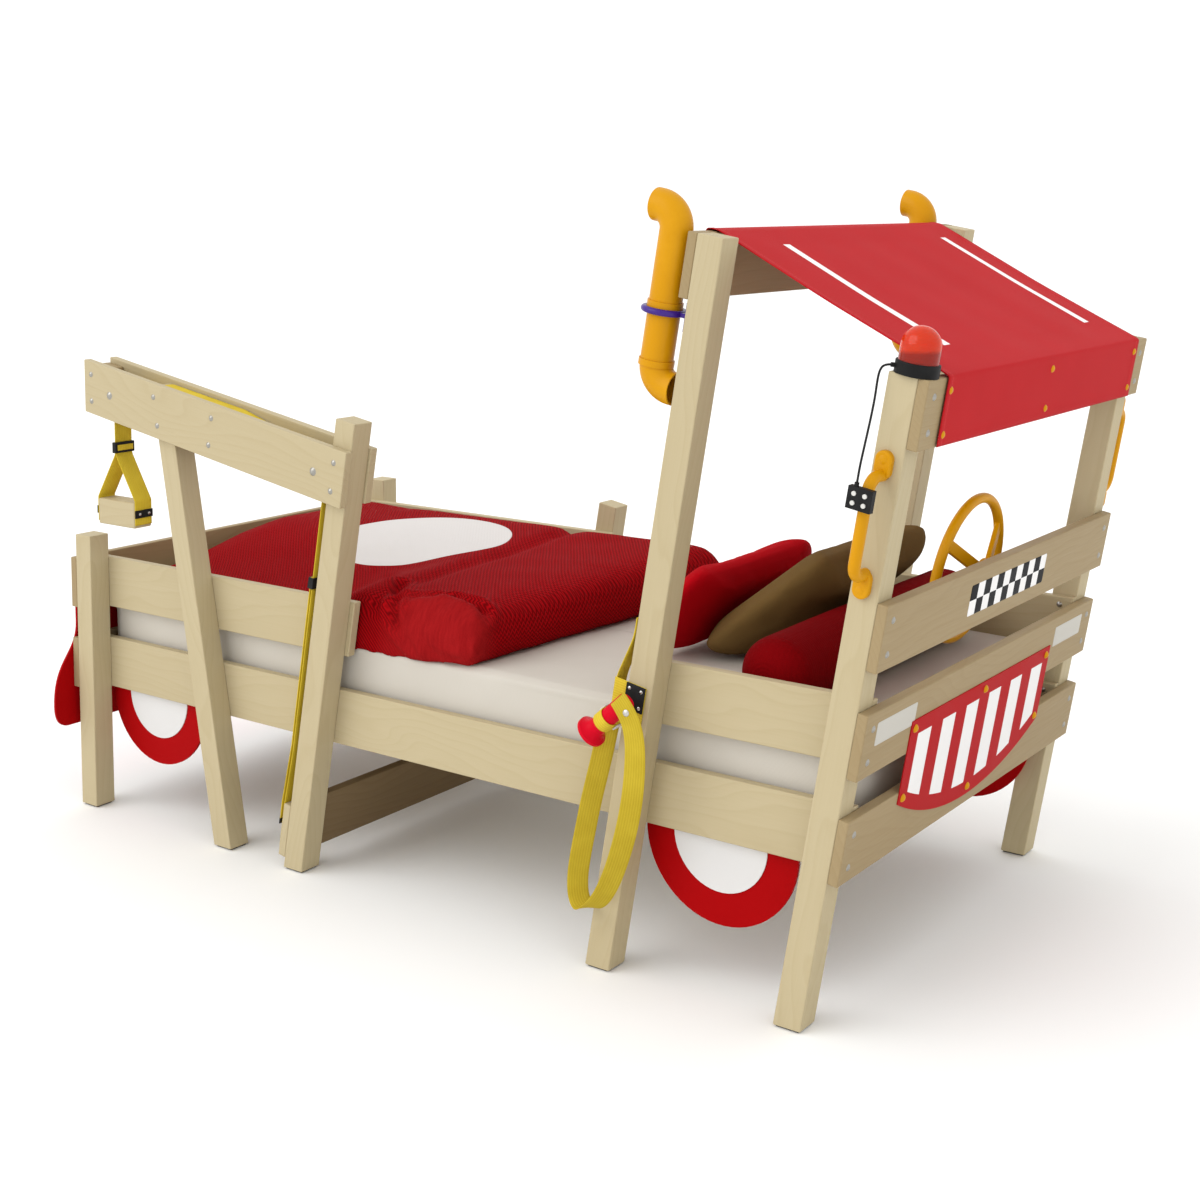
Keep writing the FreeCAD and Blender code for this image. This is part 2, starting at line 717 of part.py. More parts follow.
buckle_y = WEB_Y - BUCKLE_RIM - SLOT_CLEAR
buckle = box((tow_x - BUCKLE_THICK / 2, buckle_y, BUCKLE_Z),
             (tow_x + BUCKLE_THICK / 2, POST - buckle_y, BUCKLE_Z + BUCKLE_HEIGHT))
slot_y = WEB_Y - SLOT_CLEAR
hang_slot = WEB / 2 + SLOT_CLEAR
sling_slot = WEB + REST / 2 + SLOT_CLEAR
top_slot = box((tow_x - hang_slot, slot_y, buckle_mid + WEB - SLOT_CLEAR),
               (tow_x + hang_slot, POST - slot_y, BUCKLE_Z + 2 * BUCKLE_HEIGHT))
low_slot = box((tow_x - sling_slot, slot_y, BUCKLE_Z - BUCKLE_HEIGHT),
               (tow_x + sling_slot, POST - slot_y, buckle_mid - WEB + SLOT_CLEAR))
nodes["tow_buckle"] = [eased(buckle, BUCKLE_RIM / 2).cut([top_slot, low_slot])]

block_y = (POST - BLOCK_WIDTH) / 2
block_top = BLOCK_Z + BLOCK_HEIGHT
block = box((tow_x - BLOCK_LENGTH / 2, block_y, BLOCK_Z),
            (tow_x + BLOCK_LENGTH / 2, POST - block_y, block_top))
nodes["tow_block"] = [eased(block, BLOCK_EASE)]
nodes["tow_sling"] = []
nodes["tow_block_clips"] = []
for side in (-1, 1):
    neck = tow_x + side * (WEB + REST) / 2
    edge = tow_x + side * (BLOCK_LENGTH / 2 + WEB_STEP)
    limb = [(neck, buckle_mid - WEB), (neck, BUCKLE_Z - SLING_HEM / 2)]
    limb += [(edge, block_top + SLING_HEM / 2), (edge, BLOCK_Z + SLING_HEM)]
    nodes["tow_sling"].append(band(limb, (SLING_HEM, SLING_HEM), WEB_Y, WEB_WIDTH))
    face = edge + side * WEB_STEP
    low_z = BLOCK_Z + CLIP_RISE
    clip_xs = sorted((face, face + side * CLIP_THICK))
    clip = box((clip_xs[0], block_y, low_z), (clip_xs[1], POST - block_y, low_z + CLIP_HEIGHT))
    heads = []
    for y in (POST_Y - CLIP_SCREW_SPREAD, POST_Y + CLIP_SCREW_SPREAD):
        head = V(face + side * CLIP_THICK, y, low_z + CLIP_HEIGHT / 2)
        heads.append(aimed(dome(CLIP_SCREW_R, CLIP_SCREW_RISE), head, V(side, 0, 0)))
    nodes["tow_block_clips"].append(fused(clip, *heads))

# Roof cloth: over the rear beam, down to the roof beam and over its face, held by yellow caps.
cloth_step = 2 * REST + CLOTH / 2
cloth_y = POST + CLOTH_EDGE_GAP


def roof_point(frame, n, u):
    place = frame.multVec(V(n, 0, u))
    return place.x, place.z


back_n = -POST - THICK - cloth_step
front_n = THICK + cloth_step
roof = [roof_point(REAR, back_n, REAR_LENGTH - CLOTH_BACK_FLAP)]
roof += [roof_point(REAR, back_n, REAR_LENGTH + cloth_step)]
roof += [roof_point(REAR, -POST, REAR_LENGTH + cloth_step)]
roof_front = roof_point(FRONT, front_n, FRONT_LENGTH + cloth_step)
sag_x = (roof[-1][0] + roof_front[0]) / 2
sag_z = (roof[-1][1] + roof_front[1]) / 2 - CLOTH_SAG
roof += [(sag_x, sag_z), roof_front]
roof += [roof_point(FRONT, front_n, FRONT_LENGTH + cloth_step - CLOTH_FRONT_FLAP)]
cloth_radii = (CLOTH_FOLD_R, THICK, CLOTH_SAG_R, CLOTH_FOLD_R)
nodes["roof_cloth"] = [band(roof, cloth_radii, cloth_y, OVERALL_Y - 2 * cloth_y, CLOTH)]

caps = []


def yellow_cap(frame, n, y, u, side):
    """A domed cap fastener on a face square to n."""
    direction = frame.Rotation.multVec(V(side, 0, 0))
    caps.append(aimed(dome(CAP_R, CAP_RISE), frame.multVec(V(n, y, u)), direction))


cap_ys = (MID_Y - ROOF_CAP_SPREAD, MID_Y, MID_Y + ROOF_CAP_SPREAD)
for y in cap_ys:
    for drop in ROOF_CAP_DROPS:
        yellow_cap(FRONT, front_n + CLOTH / 2, y, FRONT_LENGTH - drop, 1)
    yellow_cap(REAR, back_n - CLOTH / 2, y, REAR_LENGTH - BACK_CAP_DROP, -1)

# Grille panel: a thin sheet across the two lower front boards, with a rounded lower edge.
grille_y = MID_Y + GRILLE_SHIFT
left_y, right_y = grille_y - GRILLE_WIDTH / 2, grille_y + GRILLE_WIDTH / 2
grille_low = GRILLE_TOP_U - GRILLE_SIDE
top_left, top_right = V(THICK, left_y, GRILLE_TOP_U), V(THICK, right_y, GRILLE_TOP_U)
low_left, low_right = V(THICK, left_y, grille_low), V(THICK, right_y, grille_low)
belly = V(THICK, grille_y, grille_low - GRILLE_BELLY)
grille_edges = [line(low_left, top_left), line(top_left, top_right), line(top_right, low_right)]
grille_edges += [arc(low_right, belly, low_left)]
grille = Part.Face(joined(grille_edges)).extrude(V(GRILLE_THICK, 0, 0))
nodes["grille_panel"] = [moved(grille, FRONT)]
for y in (left_y + GRILLE_CAP_INSET, grille_y, right_y - GRILLE_CAP_INSET):
    yellow_cap(FRONT, THICK + GRILLE_THICK, y, GRILLE_TOP_U - GRILLE_CAP_INSET, 1)
    low_u = belly.z + GRILLE_CAP_INSET if y == grille_y else grille_low + GRILLE_CAP_INSET / 2
    yellow_cap(FRONT, THICK + GRILLE_THICK, y, low_u, 1)

# Tail panel: a red board on the foot boards whose lower corners flare past the posts.
tail_x = -POST - THICK


def mirrored_point(point):
    return V(point.x, OVERALL_Y - point.y, point.z)


tail_top = V(tail_x, TAIL_INSET, TAIL_TOP)
tail_waist = V(tail_x, TAIL_INSET, TAIL_WAIST)
tail_tip = V(tail_x, -TAIL_FLARE, TAIL_FLARE_Z)
tail_toe = V(tail_x, TAIL_HEM_INSET - TAIL_FLARE, TAIL_HEM)
pull_z = TAIL_FLARE_Z + (TAIL_WAIST - TAIL_FLARE_Z) * TAIL_PULL
swell = Part.BezierCurve()
swell.setPoles([tail_waist, V(tail_x, TAIL_INSET, pull_z), V(tail_x, -TAIL_FLARE, pull_z), tail_tip])
toe = Part.BezierCurve()
toe.setPoles([tail_tip, V(tail_x, -TAIL_FLARE, TAIL_HEM), tail_toe])
near_end = [line(tail_top, tail_waist), swell.toShape(), toe.toShape()]
far_end = [edge.mirror(V(0, MID_Y, 0), V(0, 1, 0)) for edge in near_end]
tail_edges = near_end + far_end
tail_edges += [line(tail_top, mirrored_point(tail_top)), line(tail_toe, mirrored_point(tail_toe))]
tail_panel = Part.Face(joined(tail_edges)).extrude(V(-TAIL_THICK, 0, 0))
for y in (TAIL_CAP_INSET, MID_Y, OVERALL_Y - TAIL_CAP_INSET):
    for z in (RAIL_Z + BOARD / 2, GUARD_Z + BOARD / 3):
        yellow_cap(FreeCAD.Placement(), tail_x - TAIL_THICK, y, z, -1)
nodes["tail_panel"] = [drilled(tail_panel, HEAD_R + TAIL_HOLE_CLEAR)]
nodes["yellow_caps"] = caps

# Wheel plates: red half discs behind the rails, each with a white hub disc on its outer face.
nodes["wheel_plates"] = []
nodes["hub_discs"] = []


def half_disc(x, y, z, radius, rise, thick):
    """A half disc that hangs from height z, with a straight-sided top of the given rise."""
    left, right = V(x - radius, y, z), V(x + radius, y, z)
    edges = [arc(left, V(x, y, z - radius), right)]
    if rise:
        lift = V(0, 0, rise)
        edges += [line(right, right + lift), line(right + lift, left + lift), line(left + lift, left)]
    else:
        edges += [line(right, left)]
    return Part.Face(joined(edges)).extrude(V(0, thick, 0))


def wheel(x):
    """A plate and its hub disc inside the near rail."""
    wheel_z = RAIL_Z - WHEEL_DROP
    plate = half_disc(x, INNER_Y, wheel_z, WHEEL_PLATE_R, WHEEL_DROP + WHEEL_TAB, WHEEL_PLATE)
    return plate, half_disc(x, INNER_Y - DISC_THICK, wheel_z, DISC_R, 0, DISC_THICK)


for x, far_x in zip(WHEEL_XS, FAR_WHEEL_XS):
    nodes["wheel_plates"] += [wheel(x)[0], far(wheel(far_x)[0])]
    nodes["hub_discs"] += [wheel(x)[1], far(wheel(far_x)[1])]


# Periscopes: an upper elbow, a barrel and a lower elbow, with a mirror across each bend.
def pipe(edges, radius, direction):
    """A round bar along a path that starts in the given direction."""
    start = edges[0].Vertexes[0].Point
    ring = Part.Wire(Part.makeCircle(radius, start, direction))
    return Part.Wire(edges).makePipeShell([ring], True, False)


def elbow(end_u, seam_u, mouth):
    """An elbow with its socket collar, and the mirror that lies across its bend."""
    rise = 1 if seam_u > end_u else -1
    foot, seam = V(TUBE_N, POST_Y, end_u), V(TUBE_N, POST_Y, seam_u)
    edges = corner_arcs([foot + mouth * TUBE_REACH, foot, seam], [TUBE_BEND])
    bore = pipe(edges, TUBE_R - TUBE_WALL, mouth)
    collar = rod(TUBE_R + COLLAR, seam - V(0, 0, rise * COLLAR_HEIGHT), seam)
    shell = fused(pipe(edges, TUBE_R, mouth), collar).cut(bore)
    outward = (mouth + V(0, 0, rise)).normalize()
    slab = aimed(rod(2 * TUBE_R, (0, 0, -MIRROR_THICK), (0, 0, 0)), foot, outward)
    return shell, pipe(edges, TUBE_R - TUBE_WALL - REST, mouth).common(slab)


top_elbow, top_mirror = elbow(TUBE_TOP_U - TUBE_R, COLLAR_U, V(-1, 0, 0))
low_elbow, low_mirror = elbow(TUBE_BOTTOM_U + TUBE_R, LOW_SEAM_U, V(1, 0, 0))
barrel = rod(TUBE_R, (TUBE_N, POST_Y, LOW_SEAM_U), (TUBE_N, POST_Y, COLLAR_U))
barrel = barrel.cut(rod(TUBE_R - TUBE_WALL, (TUBE_N, POST_Y, LOW_SEAM_U), (TUBE_N, POST_Y, COLLAR_U)))
periscope = [moved(piece, REAR) for piece in (top_elbow, barrel, low_elbow)]
mirrors = [moved(piece, REAR) for piece in (top_mirror, low_mirror)]
nodes["near_periscope"] = periscope
nodes["far_periscope"] = [far(piece) for piece in periscope]
nodes["near_periscope_mirrors"] = mirrors
nodes["far_periscope_mirrors"] = [far(piece) for piece in mirrors]

# Periscope brackets: a ring of blue bar that the collar rests on, with a plate on the rear post.
ring_mid = RING_U + RING_BAR
ring_r = TUBE_R + RING_CLEAR + RING_BAR
ring = Part.makeTorus(ring_r, RING_BAR, V(TUBE_N, POST_Y, ring_mid), V(0, 0, 1))
web = box((TUBE_N + ring_r, POST_Y - BRACKET_WEB / 2, ring_mid - BRACKET_WEB_HEIGHT / 2),
          (-POST, POST_Y + BRACKET_WEB / 2, ring_mid + BRACKET_WEB_HEIGHT / 2))
post_plate = box((-POST - BRACKET_PLATE, POST_Y - BRACKET_WIDTH / 2, ring_mid - BRACKET_HEIGHT / 2),
                 (-POST, POST_Y + BRACKET_WIDTH / 2, ring_mid + BRACKET_HEIGHT / 2))
nodes["periscope_brackets"] = both(moved(fused(ring, web, post_plate), REAR))


# Grab handles: a bent yellow bar with an oval pad at each end, on the front posts' outer faces.
def grab_handle(n):
    """A handle on the near front post, with a capped screw at the outer end of each pad."""
    high, low = V(n, 0, HANDLE_HIGH_U), V(n, 0, HANDLE_LOW_U)
    stand = V(0, -HANDLE_STAND, 0)
    path = corner_arcs([high, high + stand, low + stand, low], [HANDLE_BEND, HANDLE_BEND])
    pieces = [pipe(path, HANDLE_R, V(0, -1, 0))]
    half_run = PAD_LENGTH / 2 - PAD_R
    side = V(PAD_R, 0, 0)
    for end, way in ((high, 1), (low, -1)):
        inner = end + V(0, 0, way * (PAD_SHIFT - half_run))
        outer = end + V(0, 0, way * (PAD_SHIFT + half_run))
        edges = [line(inner - side, outer - side), line(inner + side, outer + side)]
        edges += [arc(inner - side, inner - V(0, 0, way * PAD_R), inner + side)]
        edges += [arc(outer - side, outer + V(0, 0, way * PAD_R), outer + side)]
        pad = Part.Face(joined(edges)).extrude(V(0, -PAD_THICK, 0))
        face_edges = [edge for edge in pad.Edges if edge.BoundBox.YMax < -PAD_THICK / 2]
        pieces.append(pad.makeFillet(PAD_THICK / 3, face_edges))
        pieces.append(aimed(dome(PAD_CAP_R, PAD_CAP_RISE), outer - V(0, PAD_THICK, 0), V(0, -1, 0)))
    return moved(fused(*pieces), FRONT)


nodes["grab_handles"] = [grab_handle(HANDLE_N), far(grab_handle(FAR_HANDLE_N))]

# Control box: a shell with a back and a grip that clasps the near handle's bar, and four push buttons.
box_n = HANDLE_N - BOX_WIDTH / 2
box_end_n = HANDLE_N + BOX_WIDTH / 2
back_face = BOX_BACK - BOX_WALL
inner_low = (box_n + BOX_WALL, BOX_FRONT + BOX_WALL, BOX_U + BOX_WALL)
inner_high = (box_end_n - BOX_WALL, back_face, BOX_TOP_U - BOX_WALL)
cover = eased(box((box_n, BOX_FRONT, BOX_U), (box_end_n, BOX_BACK, BOX_TOP_U)), BOX_WALL / 2)
cover = cover.cut(box((box_n, back_face, BOX_U), (box_end_n, BOX_BACK, BOX_TOP_U)))
box_gland_y = (BOX_FRONT + BOX_BACK) / 2
box_entry = V(BOX_GLAND_N, box_gland_y, BOX_TOP_U + GLAND_LENGTH)
gland = rod(GLAND_R, (BOX_GLAND_N, box_gland_y, BOX_TOP_U - BOX_WALL), box_entry)
cover = fused(cover, gland).cut(box(inner_low, inner_high))
grip_u = BOX_U + (BOX_HEIGHT - GRIP_SPAN) / 2
bar_axis = V(HANDLE_N, -HANDLE_STAND, 0)
grip_low, grip_high = bar_axis + V(0, 0, grip_u), bar_axis + V(0, 0, grip_u + GRIP_SPAN)
grip = rod(HANDLE_R + GRIP_WALL, grip_low, grip_high)
grip_web = box((HANDLE_N - GRIP_WEB / 2, back_face, grip_u), grip_high + V(GRIP_WEB / 2, 0, 0))
grip_bore = rod(HANDLE_R + REST, bar_axis + V(0, 0, BOX_U), bar_axis + V(0, 0, BOX_TOP_U))
back = box((box_n, back_face, BOX_U), (box_end_n, BOX_BACK, BOX_TOP_U))
back = fused(back, grip, grip_web).cut(grip_bore)
button_spots = []
for u_side in (1, -1):
    for n_side in (-1, 1):
        button_u = BOX_U + (BOX_HEIGHT + u_side * BUTTON_PITCH_U) / 2
        button_spots.append((HANDLE_N + n_side * BUTTON_PITCH_N / 2, button_u))
inner_face = BOX_FRONT + BOX_WALL
for i, (n, u) in enumerate(button_spots):
    hole_ends = (n, BOX_FRONT - BOX_WALL, u), (n, inner_face + BOX_WALL / 2, u)
    cover = cover.cut(rod(BUTTON_R + BUTTON_CLEAR, *hole_ends))
    stem = rod(BUTTON_R, (n, BOX_FRONT - BUTTON_PROUD, u), (n, inner_face + REST, u))
    stem = stem.makeFillet(BUTTON_R / 5, [stem.Edges[2]])
    foot = rod(BUTTON_FLANGE_R, (n, inner_face + REST, u), (n, inner_face + REST + BUTTON_FLANGE, u))
    nodes["control_button_%d" % (i + 1)] = [moved(fused(stem, foot), FRONT)]
nodes["control_box"] = [moved(cover, FRONT), moved(back, FRONT)]

# Beacon: a black base on the near front post, with a lamp under a red dome.
base_top = FRONT_LENGTH + BASE_HEIGHT
gland_u = FRONT_LENGTH + BASE_HEIGHT / 2
beacon_axis = V(BEACON_N, POST_Y, 0)
base = rod(BEACON_R, beacon_axis + V(0, 0, FRONT_LENGTH), beacon_axis + V(0, 0, base_top))
base = base.makeFillet(EASE, [base.Edges[0]])
cable_start = beacon_axis + GLAND_WAY * (BEACON_R + GLAND_LENGTH) + V(0, 0, gland_u)
base_gland = rod(GLAND_R, beacon_axis + GLAND_WAY * LAMP_R + V(0, 0, gland_u), cable_start)
nodes["beacon_base"] = [moved(fused(base, base_gland), FRONT)]


def bell(radius, side, floor):
    """Outline of half a round-topped cylinder, from the axis out and back up to it."""
    corner, shoulder = V(radius, 0, floor), V(radius, 0, side)
    slant = radius * math.sqrt(0.5)
    edges = [line(V(0, 0, floor), corner), line(corner, shoulder)]
    edges += [arc(shoulder, V(slant, 0, side + slant), V(0, 0, side + radius))]
    edges += [line(V(0, 0, side + radius), V(0, 0, floor))]
    return joined(edges)


glass = revolved(bell(DOME_R, DOME_SIDE, 0)).cut(revolved(bell(DOME_R - DOME_WALL, DOME_SIDE, -DOME_WALL)))
lamp = revolved(bell(LAMP_R, LAMP_HEIGHT - LAMP_R, 0))
dome_seat = FreeCAD.Placement(beacon_axis + V(0, 0, base_top), FreeCAD.Rotation())
nodes["beacon_dome"] = [moved(moved(glass, dome_seat), FRONT)]
nodes["beacon_lamp"] = [moved(moved(lamp, dome_seat), FRONT)]

# Beacon cable: it leaves the base's gland, hangs beside the post and goes into the box's gland.
CABLE_ROUTE = [(-61.0, -6.0, 9.5), (-65.0, -10.5, -1.0), (-64.5, -13.0, -19.0),
               (-61.5, -17.0, -45.0), (-58.0, -26.0, -75.0), (-53.0, -40.0, -105.0),
               (-47.5, -55.0, -132.0), (-43.5, -66.0, -156.0)]
post_top = V(0, 0, FRONT_LENGTH)
cable_points = [cable_start] + [V(*p) + post_top for p in CABLE_ROUTE] + [box_entry]
cable_radii = []
for before, corner, after in zip(cable_points, cable_points[1:], cable_points[2:]):
    turn = math.pi - (before - corner).getAngle(after - corner)
    shorter = min((before - corner).Length, (after - corner).Length)
    cable_radii.append(CABLE_EASE * shorter / math.tan(turn / 2))
cable_edges = corner_arcs(cable_points, cable_radii)
cable = pipe(cable_edges, CABLE_R, cable_points[1] - cable_points[0])
nodes["beacon_cable"] = [moved(cable, FRONT)]

# Steering wheel: a dished rim on three spokes, with its shaft in a bracket on the upper front board.
hub_n = -HUB_STAND - HUB_DEPTH / 2
hub_end = -HUB_STAND + HUB_DEPTH / 2
wheel_mid = V(-WHEEL_STAND, MID_Y, WHEEL_U)
hub_mid = V(-HUB_STAND, MID_Y, WHEEL_U)
rim = Part.makeTorus(WHEEL_R, RIM_R, wheel_mid, V(1, 0, 0))
hub = rod(HUB_R, (hub_n, MID_Y, WHEEL_U), (hub_end, MID_Y, WHEEL_U))
hub = hub.makeFillet(HUB_R / 6, [hub.Edges[0], hub.Edges[2]])
boss_end = hub_end + BOSS_GAP
shaft = rod(SHAFT_R, hub_mid, (-FLANGE_THICK, MID_Y, WHEEL_U))
wheel_pieces = [hub, shaft]
dish = WHEEL_STAND - HUB_STAND
spoke = box((-SPOKE_THICK / 2, HUB_R / 2, -SPOKE_WIDTH / 2),
            (SPOKE_THICK / 2, math.hypot(WHEEL_R, dish), SPOKE_WIDTH / 2))
dish_turn = FreeCAD.Rotation(V(0, 0, 1), math.degrees(math.atan2(dish, WHEEL_R)))
spoke = moved(eased(spoke), FreeCAD.Placement(V(0, 0, 0), dish_turn))
for angle in SPOKE_ANGLES:
    wheel_pieces.append(moved(spoke, FreeCAD.Placement(hub_mid, FreeCAD.Rotation(V(1, 0, 0), angle))))
nodes["steering_wheel"] = [moved(fused(rim, *wheel_pieces), FRONT)]
flange = eased(box((-FLANGE_THICK, MID_Y - FLANGE_SIDE / 2, WHEEL_U - FLANGE_SIDE / 2),
                   (0, MID_Y + FLANGE_SIDE / 2, WHEEL_U + FLANGE_SIDE / 2)))
boss = rod(BOSS_R, (boss_end, MID_Y, WHEEL_U), (-FLANGE_THICK / 2, MID_Y, WHEEL_U))
bore_end = (BOSS_GAP - FLANGE_THICK, MID_Y, WHEEL_U)
shaft_bore = rod(SHAFT_R + SHAFT_CLEAR, (hub_end, MID_Y, WHEEL_U), bore_end)
nodes["steering_bracket"] = [moved(fused(flange, boss).cut(shaft_bore), FRONT)]

# Nozzle: a turned red piece with a flared mouth, held in a webbing holster on the near rear post.
nozzle_rise = math.radians(NOZZLE_RISE)
NOZZLE_WAY = V(math.cos(nozzle_rise), 0, math.sin(nozzle_rise))
nozzle_tip = REAR.multVec(V(NOZZLE_TIP_N, -NOZZLE_STAND, NOZZLE_TIP_U))
neck_start = V(NOZZLE_R, 0, FLARE_LENGTH)
lip_end = V(FLARE_R, 0, LIP)
throat = V(NOZZLE_R + (FLARE_R - NOZZLE_R) * THROAT_OUT, 0, LIP + (FLARE_LENGTH - LIP) * THROAT_UP)
nozzle_end, cone_tip = V(0, 0, NOZZLE_LENGTH), V(0, 0, MOUTH_DEPTH)
nozzle_edges = [line(V(MOUTH_R, 0, 0), V(FLARE_R, 0, 0)), line(V(FLARE_R, 0, 0), lip_end)]
nozzle_edges += [arc(lip_end, throat, neck_start), line(neck_start, V(NOZZLE_R, 0, NOZZLE_LENGTH))]
nozzle_edges += [line(V(NOZZLE_R, 0, NOZZLE_LENGTH), nozzle_end)]
nozzle_edges += [line(nozzle_end, cone_tip), line(cone_tip, V(MOUTH_R, 0, 0))]
nodes["nozzle"] = [aimed(revolved(joined(nozzle_edges)), nozzle_tip, NOZZLE_WAY)]

# Holster: a loop of webbing round the nozzle, on a strip that lies on the post, with a hanger above.
loop_in = NOZZLE_R + HOLSTER_CLEAR
loop_out = loop_in + WEB
leg_end = NOZZLE_STAND - WEB / 2
low_s = HOLSTER_AT - HOLSTER_WIDTH / 2


def loop_arc(radius):
    return arc(V(-radius, 0, low_s), V(0, -radius, low_s), V(radius, 0, low_s))


loop_edges = [loop_arc(loop_in), loop_arc(loop_out)]
for side in (-1, 1):
    inner, outer = V(side * loop_in, 0, low_s), V(side * loop_out, 0, low_s)
    inner_end, outer_end = V(side * loop_in, leg_end, low_s), V(side * loop_out, leg_end, low_s)
    loop_edges += [line(inner, inner_end), line(inner_end, outer_end), line(outer_end, outer)]
loop = Part.Face(joined(loop_edges)).extrude(V(0, 0, HOLSTER_WIDTH))
loop = aimed(loop, nozzle_tip, NOZZLE_WAY)
strip_top = STRIP_U + STRIP_HEIGHT
strip_low = (-POST - STRIP_TAIL, -WEB, STRIP_U)
strip = moved(box(strip_low, (-POST + PLATE_WIDTH, 0, strip_top)), REAR)
hanger = [(-POST - WEB_STEP, HANGER_TOP_U), (-POST - WEB_STEP, HANGER_TOP_U - HANGER_WIDTH)]
hanger += [(-POST - STRIP_TAIL + WEB, strip_top), (-POST - STRIP_TAIL + WEB, STRIP_U + STRIP_HEIGHT / 2)]
hanger = moved(band(hanger, (BOARD, BOARD), -WEB, HANGER_WIDTH), REAR)
nodes["nozzle_holster"] = [fused(strip, loop, hanger)]
plate_low = (-POST, -WEB - PLATE_THICK, strip_top - PLATE_HEIGHT)
holster_plate = eased(box(plate_low, (-POST + PLATE_WIDTH, -WEB, strip_top)), PLATE_THICK / 3)
nodes["holster_plate"] = [moved(holster_plate, REAR)]

# Hose webbing: a free loop from the nozzle's end down and back up to the holster's strip.
HOSE_ROUTE = [(1571.0, -66.5, 556.0), (1596.0, -67.0, 530.0), (1609.0, -66.0, 488.0), (1608.0, -64.0, 430.0),
              (1599.0, -61.0, 366.0), (1582.0, -57.0, 300.0), (1557.0, -52.0, 232.0), (1529.0, -45.0, 178.0),
              (1499.0, -37.0, 142.0), (1470.0, -29.0, 128.0), (1450.0, -22.0, 142.0), (1444.0, -17.0, 178.0),
              (1449.0, -13.0, 224.0), (1459.0, -10.0, 276.0), (1470.0, -8.0, 330.0), (1485.0, -6.0, 388.0),
              (1498.0, -5.0, 438.0), (1508.0, -4.0, 485.0)]
hose_points = [V(*p) for p in HOSE_ROUTE]
hose_sections = []
for i, point in enumerate(hose_points):
    ahead = hose_points[min(i + 1, len(hose_points) - 1)] - hose_points[max(i - 1, 0)]
    turn = math.radians(HOSE_TURN) * min(i / HOSE_TURN_POINTS, 1)
    across = V(math.cos(turn), math.sin(turn), 0)
    through = ahead.cross(across).normalize() * (WEB / 2)
    across = across * (HOSE_WIDTH / 2)
    corners = [point - across - through, point + across - through]
    corners += [point + across + through, point - across + through]
    hose_sections.append(Part.makePolygon(corners + corners[:1]))
nodes["hose_webbing"] = [Part.makeLoft(hose_sections, True, True)]

# Mattress: a plain foam block with rounded corners and edges.
mattress = box((MATTRESS_X, MATTRESS_Y, MATTRESS_Z),
               (MATTRESS_X + MATTRESS_LENGTH, MATTRESS_Y + MATTRESS_WIDTH, BED_TOP))
upright = [e for e in mattress.Edges if abs(e.tangentAt(e.FirstParameter).z) > 0.5]
mattress = mattress.makeFillet(MATTRESS_CORNER, upright)
level = [e for e in mattress.Edges if e.BoundBox.ZLength < 1]
nodes["mattress"] = [mattress.makeFillet(MATTRESS_EDGE, level)]

# Duvet: a soft cover over the foot half, laid a little askew, with cross folds and rounded sides.
duvet_low = BED_TOP + DUVET_REST
duvet_near = MATTRESS_Y + DUVET_NEAR_GAP
duvet_far = MATTRESS_Y + MATTRESS_WIDTH - DUVET_FAR_GAP
duvet_sections = []
for i in range(DUVET_SECTIONS):
    share = i / (DUVET_SECTIONS - 1)

    def duvet_point(y, z):
        """A point of this section, which is turned more and more towards the head end."""
        return V(DUVET_START + (DUVET_LENGTH + DUVET_SKEW * (y - MID_Y)) * share, y, z)

    foot_fill = DUVET_FOOT_FILL + DUVET_FILL_RISE * share
    head_fill = DUVET_HEAD_FILL + DUVET_FILL_RISE * (1 - share)
    fill = min(1.0, foot_fill, head_fill)
    fold = (1 + math.cos(2 * math.pi * DUVET_FOLDS * share)) / 2
    tall = DUVET_HEIGHT * fill * (1 - DUVET_FOLD_DEPTH * fold)
    side = min(DUVET_SIDE, DUVET_ROUND * tall)
    shoulder = duvet_low + DUVET_SHOULDER * tall
    waist = (duvet_low + shoulder) / 2
    near_low, far_low = duvet_point(duvet_near + side, duvet_low), duvet_point(duvet_far - side, duvet_low)
    near_top, far_top = duvet_point(duvet_near + side, shoulder), duvet_point(duvet_far - side, shoulder)
    edges = [line(near_low, far_low), arc(far_low, duvet_point(duvet_far, waist), far_top)]
    edges += [arc(far_top, duvet_point((duvet_near + duvet_far) / 2, duvet_low + tall), near_top)]
    edges += [arc(near_top, duvet_point(duvet_near, waist), near_low)]
    duvet_sections.append(Part.Wire(edges))
nodes["duvet"] = [Part.makeLoft(duvet_sections, True, False)]

# Pillows: crowned forms with drawn-in sides that lean on the mattress.
PILLOW_LEVELS = ((-1.0, 0.4), (-0.8, 0.7), (-0.4, 0.93), (0.0, 1.0), (0.4, 0.93), (0.8, 0.7), (1.0, 0.4))


